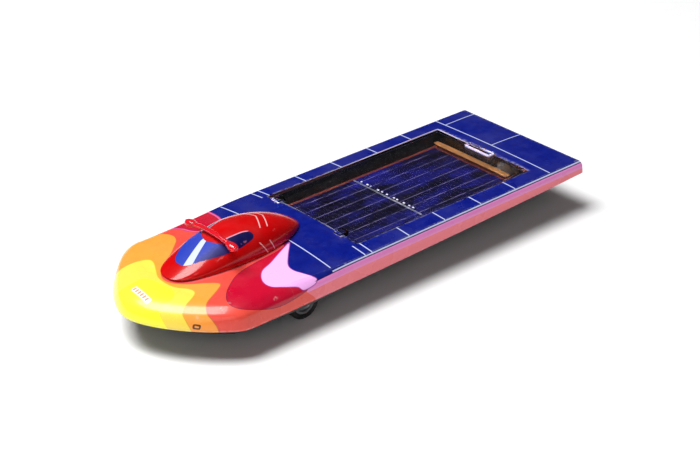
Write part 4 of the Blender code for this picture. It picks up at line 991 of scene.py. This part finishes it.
def make_mirror_bar():
    """A bar whose radius swells into a rounded pod at each end, carried along a lifted arc.

    Radius: 0.66 mm in the middle, smoothly joined at each end to a half-ellipse 2 mm long each way.
    """
    reach, soft = 11.0 * MM, 0.25 * MM
    rod_radius, pod_radius, pod_length, pod_flatness = 0.66 * MM, 1.6 * MM, 2.0 * MM, 1.25 / 1.6
    y = reach * np.sin(np.linspace(-math.pi / 2, math.pi / 2, 90))[:, None]
    pod_y = MIRROR_HALF_Y - 0.5 * MM
    pod = np.sqrt(np.clip(1 - ((np.abs(y) - pod_y) / pod_length) ** 2, 0, 1))
    rod = np.where(np.abs(y) < pod_y, rod_radius, 0.0)
    wide = soft * np.log(np.exp(pod_radius * pod / soft) + np.exp(rod / soft))
    wide = wide - soft * math.log(2) * (rod < pod * MM)
    wide = np.clip(wide, 0, None) * np.where(np.abs(y) >= reach, 0.0, 1.0)
    high = np.maximum(np.minimum(wide, rod_radius), pod_flatness * wide * (pod > 0.2))
    lift = 0.9 * MM * np.cos(math.pi * np.clip(y / MIRROR_HALF_Y, -1, 1) / 2)
    turn = np.linspace(0, 2 * math.pi, 29)[None, :]
    x = MIRROR_X + wide * np.cos(turn)
    z = MIRROR_Z - 0.1 * MM * pod + lift + high * np.sin(turn)
    points = np.stack([x, np.broadcast_to(y, x.shape), z], -1).reshape(-1, 3)
    faces = grid_faces(90, 29)
    bar = surface("mirror_moulding", points, faces, "chassis", mirror_finish())
    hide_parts("mirror_bar")


def tread(angle, radius, y):
    """Fine blocks round the crown of a tyre."""
    crown = smoothstep(radius.max() - 0.35 * MM, radius.max() - 0.1 * MM, radius)
    block = smoothstep(-0.2, 0.2, np.sin(angle * 60 + np.sign(y) * 1.2))
    return -0.14 * MM * crown * (1 - block)


def tyre_section(outer, inner, width):
    """Bore, bulged sides and a crown with two running grooves."""
    half = width / 2
    crown, groove = outer, outer - 0.16 * MM
    shape = [
        (inner, -0.8 * half), (inner, 0.8 * half), (outer - 1.0 * MM, half), (outer - 0.5 * MM, 0.97 * half),
        (outer - 0.14 * MM, 0.8 * half), (crown, 0.6 * half), (crown, 0.3 * half),
        (groove, 0.24 * half), (groove, 0.12 * half), (crown, 0.06 * half),
    ]
    return shape + [(r, -y) for r, y in shape[:1:-1]]


def wheel_section(rim, bore, width, hub, low, high):
    """Rim, lightly dished web and hub, with small chamfers."""
    half, web, c = 0.4 * width, 0.45 * MM, 0.12 * MM
    inner, rise = rim - 0.7 * MM, web + 0.25 * MM
    return [
        (bore, low), (bore, high), (hub - c, high), (hub, high - c), (hub, rise), (hub + 0.3 * MM, web),
        (inner, web), (inner, half - c), (inner + c, half), (rim - c, half), (rim, half - c),
        (rim, c - half), (rim - c, -half), (inner + c, -half), (inner, c - half), (inner, -web),
        (hub + 0.3 * MM, -web), (hub, -rise), (hub, low + c), (hub - c, low),
    ]


# Rim radius, width and outer radius of each tyre; bore, hub radius and hub reach of each disc
FRONT_TYRE, FRONT_HUB = (3.5 * MM, 3.2 * MM, 5.0 * MM), (0.68 * MM, 1.5 * MM, -1.4 * MM, 1.4 * MM)
REAR_TYRE, REAR_HUB = (4.2 * MM, 3.4 * MM, 5.8 * MM), (0.8 * MM, 1.7 * MM, -2.8 * MM, 1.5 * MM)
TYRE_SEAT = 0.1 * MM


def make_tyre(name, centre, body, sizes, rubber):
    rim, width, outer = sizes
    section = tyre_section(outer, rim + TYRE_SEAT, width)
    return lathe(name, section, centre, body, rubber, 240, ripple=tread)


def make_disc(name, centre, body, sizes, hub, plastic):
    bore, hub_radius, low, high = hub
    section = wheel_section(sizes[0], bore, sizes[1], hub_radius, low, high)
    return lathe(name, section, centre, body, plastic, 80)


def make_wheels(rubber, plastic):
    """Tyres and discs, each pair centred on the box of its packed tyre."""
    for side in ("left", "right"):
        low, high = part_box(f"front_tyre_{side}")
        centre, body = (low + high) / 2, f"front_wheel_{side}"
        tyre = make_tyre(f"front_tread_{side}", centre, body, FRONT_TYRE, rubber)
        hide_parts(f"front_tyre_{side}")
        wheel = make_disc(f"front_disc_{side}", centre, body, FRONT_TYRE, FRONT_HUB, plastic)
        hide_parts(f"front_wheel_{side}")
    low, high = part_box("rear_tyre")
    centre, body = (low + high) / 2, "rear_drive"
    tyre = make_tyre("rear_tread", centre, body, REAR_TYRE, rubber)
    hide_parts("rear_tyre")
    wheel = make_disc("rear_disc", centre, body, REAR_TYRE, REAR_HUB, plastic)
    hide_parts("rear_wheel")


BLACK_BACK = moulded("shell_underside", tint(36, 36, 40), 0.5)


def make_fittings():
    """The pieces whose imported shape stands: softened edges and their own finishes."""
    pan = moulded("pan_satin", tint(30, 30, 33), 0.42, grain=3200.0, depth=0.03, dust=0.10)
    beam = moulded("beam_satin", tint(34, 34, 38), 0.45, grain=3000.0, depth=0.03)
    rubber = moulded("tyre_rubber_black", tint(22, 22, 22), 0.75, 1800.0, depth=0.05, dust=0.22, wear=0.15)
    # painted shade: the wheel discs and axle caps are darkened from white to a mid grey for the shade they
    # sit in under the body
    shade_darkened_wheel = moulded("wheel_plastic_painted_shade", tint(118, 118, 122), 0.4, dust=0.08)
    soft = {"Subsurface_Weight": 0.1, "Subsurface_Scale": 0.001}
    nylon = moulded("gear_nylon", tint(234, 229, 212), 0.42, dust=0.04, **soft)
    clip = moulded("clip_plastic", tint(96, 98, 104), 0.42)
    steel = metal("axle_steel", tint(200, 200, 204), 0.22, (6.0, 0.4, 6.0))
    screw = metal("screw_steel", tint(176, 178, 186), 0.28)
    brass = metal("turned_brass", tint(214, 176, 92), 0.25, (1.0, 8.0, 1.0), 0.3)
    can = metal("motor_plating", tint(188, 190, 194), 0.24, (1.0, 6.0, 1.0))
    tin = metal("tinned_ribbon", tint(225, 224, 232), 0.32, (0.4, 1.6, 1.0), 0.3)
    copper = metal("contact_copper", tint(226, 160, 96), 0.42, (2.0, 0.3, 1.0), 0.45)
    red = moulded("lead_red_sleeve", tint(190, 24, 26), 0.4, wear=0.1)
    black = moulded("lead_black_sleeve", tint(24, 24, 26), 0.4, wear=0.1)
    cell = cell_finish()
    plan = {
        "chassis_pan": (pan, 0.14),
        "steering_beam": (beam, 0.14),
        "motor_end_cap": (beam, 0.12),
        "motor_clip": (clip, 0.12),
        "front_axle_cap_left": (shade_darkened_wheel, 0.0),
        "front_axle_cap_right": (shade_darkened_wheel, 0.0),
        "front_stub_axle_left": (steel, 0.06),
        "front_stub_axle_right": (steel, 0.06),
        "rear_axle": (steel, 0.08),
        "motor_shaft": (steel, 0.05),
        "body_screw_front": (screw, 0.07),
        "body_screw_middle": (screw, 0.07),
        "steering_screw": (screw, 0.08),
        "rear_bush_left": (brass, 0.04),
        "rear_bush_right": (brass, 0.04),
        "motor_pinion": (brass, 0.03),
        "spur_gear": (nylon, 0.04),
        "motor_can": (can, 0.0),
        "motor_terminal_front": (tin, 0.03),
        "motor_terminal_rear": (tin, 0.03),
        "panel_board": (board_finish(), 0.06),
        "solar_cell_front": (cell, 0.0),
        "solar_cell_rear": (cell, 0.0),
        "lead_red": (red, 0.0),
        "lead_black": (black, 0.0),
    }
    for node, (mat, bevel) in plan.items():
        dress(node, mat, bevel)
    dress("panel_case", clear_finish(), 0.18, segments=3)
    foil = slab("contact_foil", (-55.7, -17.4, 12.4), (-53.7, 13.6, 12.6), copper)
    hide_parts("contact_strip")
    low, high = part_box("cell_ribbon")
    top = high.z / MM
    start, end = (-19.9, low.y / MM, top - 0.15), (-19.4, high.y / MM - 3.0, top)
    ribbon = slab("joining_ribbon", start, end, tin)
    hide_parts("cell_ribbon")
    low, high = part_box("solar_cell_front")
    top = high.z / MM
    start, end = (-17.9, low.y / MM, top - 0.1), (-16.5, high.y / MM, top + 0.03)
    slab("cell_joint", start, end, cell)
    make_wheels(rubber, shade_darkened_wheel)


def slab(name, low, high, mat):
    """A thin flat slab with rounded corners: the outline |x|^12 + |y|^12 = 1 drawn out in height."""
    low, high = np.array(low) * MM, np.array(high) * MM
    middle, half = (low + high) / 2, (high - low) / 2
    angle = np.linspace(0, 2 * math.pi, 97)[:-1, None]
    reach = (np.abs(np.cos(angle)) ** 12 + np.abs(np.sin(angle)) ** 12) ** (-1 / 12)
    share = np.array([0.0, 0.97, 1.0, 1.0, 0.97, 0.0])[None, :]
    level = np.array([1.0, 1.0, 0.6, -0.6, -1.0, -1.0])[None, :] * half[2] + middle[2]
    x = middle[0] + half[0] * share * reach * np.cos(angle)
    y = middle[1] + half[1] * share * reach * np.sin(angle)
    points = np.stack([x, y, np.broadcast_to(level, x.shape)], -1).reshape(-1, 3)
    return surface(name, points, grid_faces(96, 6, around=True)[:, ::-1], "chassis", mat, sharp=35)


def bead_along(name, stops, radius, mat):
    """A round bead carried along a line of stops, with its ends drawn to a point."""
    line = np.array(stops, float) * MM
    along = np.gradient(line, axis=0)
    along /= np.linalg.norm(along, axis=1)[:, None]
    side = np.cross(along, (0.0, 0.0, 1.0))
    side /= np.linalg.norm(side, axis=1)[:, None]
    rise = np.cross(side, along)
    turn = np.linspace(0, 2 * math.pi, 11)[None, :, None]
    wide = np.full(len(line), radius * MM)
    wide[[0, -1]] = 0.0
    ring = side[:, None] * np.cos(turn) + rise[:, None] * np.sin(turn)
    points = line[:, None] + wide[:, None, None] * ring
    return surface(name, points.reshape(-1, 3), grid_faces(len(line), 11), "chassis", mat)


def rounded_path(corners, radius=0.6, steps=5):
    """A path through corners, each rounded by a quadratic curve."""
    corners = np.array(corners, float)
    path = [corners[:1]]
    t = np.linspace(0, 1, steps)[:, None]
    for before, corner, after in zip(corners[:-2], corners[1:-1], corners[2:]):
        start = corner + (before - corner) / np.linalg.norm(before - corner) * radius
        end = corner + (after - corner) / np.linalg.norm(after - corner) * radius
        path.append(start * (1 - t) ** 2 + 2 * corner * t * (1 - t) + end * t * t)
    return np.concatenate(path + [corners[-1:]])


def make_case_edge_glints():
    """The case's edges: pale beads along its rim, its latch loop and its tabs, a painted highlight standing
    for the light that the clear edges gather.
    """
    soft = {"Subsurface_Weight": 0.2, "Subsurface_Scale": 0.001}
    # painted highlight: a pale, softly glowing plastic laid on the case's edges in place of the light that
    # clear edges gather
    edge_glint_stand_in = moulded("painted_edge_glint", tint(196, 186, 214), 0.3, dust=0.0, wear=0.1, **soft)
    low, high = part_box("panel_case")
    top = high.z / MM - 0.95
    rear, ahead, side, level = -56.85, 10.2, 18.8, 15.95
    rim = [(rear, side - 0.4), (rear, -side), (rear + 6, -side), (ahead - 0.2, -side)]
    rim = rounded_path([(*corner, level) for corner in rim])
    bead_along("rim_bead", rim, 0.24, edge_glint_stand_in)
    front = [(ahead, 1 - side, 16.0), (ahead, -6, 16.25), (ahead, 6, 16.25), (ahead, 16, level)]
    bead_along("front_rim_bead", front, 0.1, edge_glint_stand_in)
    start, end, right, left = -56.7, -54.5, -4.2, 5.4
    loop = [(start, right), (end, right), (end, left), (start, left), (start, right)]
    loop = rounded_path([(*corner, top) for corner in loop], 0.5)
    bead_along("latch_bead", loop, 0.36, edge_glint_stand_in)
    for name, at in (("left", 12.6), ("right", -14.3)):
        near, far = at - 1.4, at + 1.4
        hook = [(10.2, near, 16.2), (11.8, near, 16.5), (11.8, far, 16.5), (10.4, far, 16.2)]
        bead_along("tab_bead_" + name, rounded_path(hook, 0.4), 0.2, edge_glint_stand_in)


def make_solder_beads(mat):
    """A row of small solder beads behind the ribbon: flattened half-spheres of uneven length."""
    low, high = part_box("cell_ribbon")
    turn, rise = np.meshgrid(np.linspace(0, 2 * math.pi, 13), np.linspace(0, math.pi / 2, 5))
    dome = np.stack([np.cos(turn) * np.cos(rise), np.sin(turn) * np.cos(rise), 0.5 * np.sin(rise)], -1)
    points, faces = [], []
    for k, y in enumerate(np.linspace(low.y + 2.0 * MM, high.y - 8.0 * MM, 11)):
        centre = np.array([-21.0 * MM, y + 0.5 * MM * math.sin(2.4 * k), low.z])
        faces.append(grid_faces(5, 13, start=len(points) * 65))
        size = np.array([0.34, 0.3 + 0.22 * math.sin(1.7 * k) ** 2, 0.4]) * MM
        points.append(dome.reshape(-1, 3) * size + centre)
    surface("solder_beads", np.concatenate(points), np.concatenate(faces), "chassis", mat)


# ------------------------------------------------------------------ studio

def make_floor():
    size, steps = 3.0, 2
    line = np.linspace(-size, size, steps)
    x, y = np.meshgrid(line, line, indexing="ij")
    points = np.stack([x, y, np.zeros_like(x)], -1).reshape(-1, 3)
    mesh = bpy.data.meshes.new("floor")
    mesh.from_pydata(points.tolist(), [], grid_faces(steps, steps).tolist())
    finish = Finish("floor_paper")
    fibre = finish.noise(finish.at, 220.0, 4.0)
    finish.relief(fibre, 0.05, 0.1 * MM)
    mesh.materials.append(finish.paint(finish.mix(fibre, tint(250, 250, 250), tint(246, 246, 247)), 0.8))
    floor = stand("floor", mesh)


def make_light(name, place, size, power):
    lamp = bpy.data.lights.new(name, "AREA")
    lamp.shape = "RECTANGLE"
    lamp.size, lamp.size_y = size
    lamp.energy = power
    holder = stand(name, lamp)
    holder.location = place
    holder.rotation_euler = (-Vector(place)).to_track_quat("-Z", "Y").to_euler()


# Name, place, size and power of each lamp; both look at the origin
LAMPS = (
    ("overhead_box", (0.25, -0.19, 0.84), (0.54, 0.54), 12.0),
    ("fill_box", (0.9, 0.9, 0.6), (0.9, 0.9), 3.3),
)
WORLD_COLOR, WORLD_POWER = (1.0, 1.0, 1.0, 1.0), 0.045

CAMERA_SIDE = (0.5865, 0.6571, 0.4736)
CAMERA_TARGET = (8.2, 13.64, 16.0)
CAMERA_REACH = 532.9 * MM
LENS, SENSOR_WIDTH, CLIP_START = 99.26, 36.0, 0.01


def make_studio():
    make_floor()
    for name, place, size, power in LAMPS:
        make_light(name, place, size, power)
    bpy.context.scene.view_settings.view_transform = "Standard"
    world = bpy.data.worlds.new("studio")
    world.use_nodes = True
    world.node_tree.nodes["Background"].inputs[0].default_value = WORLD_COLOR
    world.node_tree.nodes["Background"].inputs[1].default_value = WORLD_POWER
    bpy.context.scene.world = world


def make_camera():
    back = Vector(CAMERA_SIDE).normalized()
    target = Vector(CAMERA_TARGET) * MM
    lens = bpy.data.cameras.new("camera")
    lens.lens, lens.sensor_width = LENS, SENSOR_WIDTH
    lens.clip_start = CLIP_START
    camera = stand("camera", lens)
    camera.location = target + back * CAMERA_REACH
    camera.rotation_mode = "QUATERNION"
    camera.rotation_quaternion = (-back).to_track_quat("-Z", "Y")
    bpy.context.scene.camera = camera


make_camera()
make_shell()
make_canopy()
make_mirror_bar()
make_fittings()
make_case_edge_glints()
make_solder_beads(metal("solder", tint(235, 235, 240), 0.3))
make_studio()
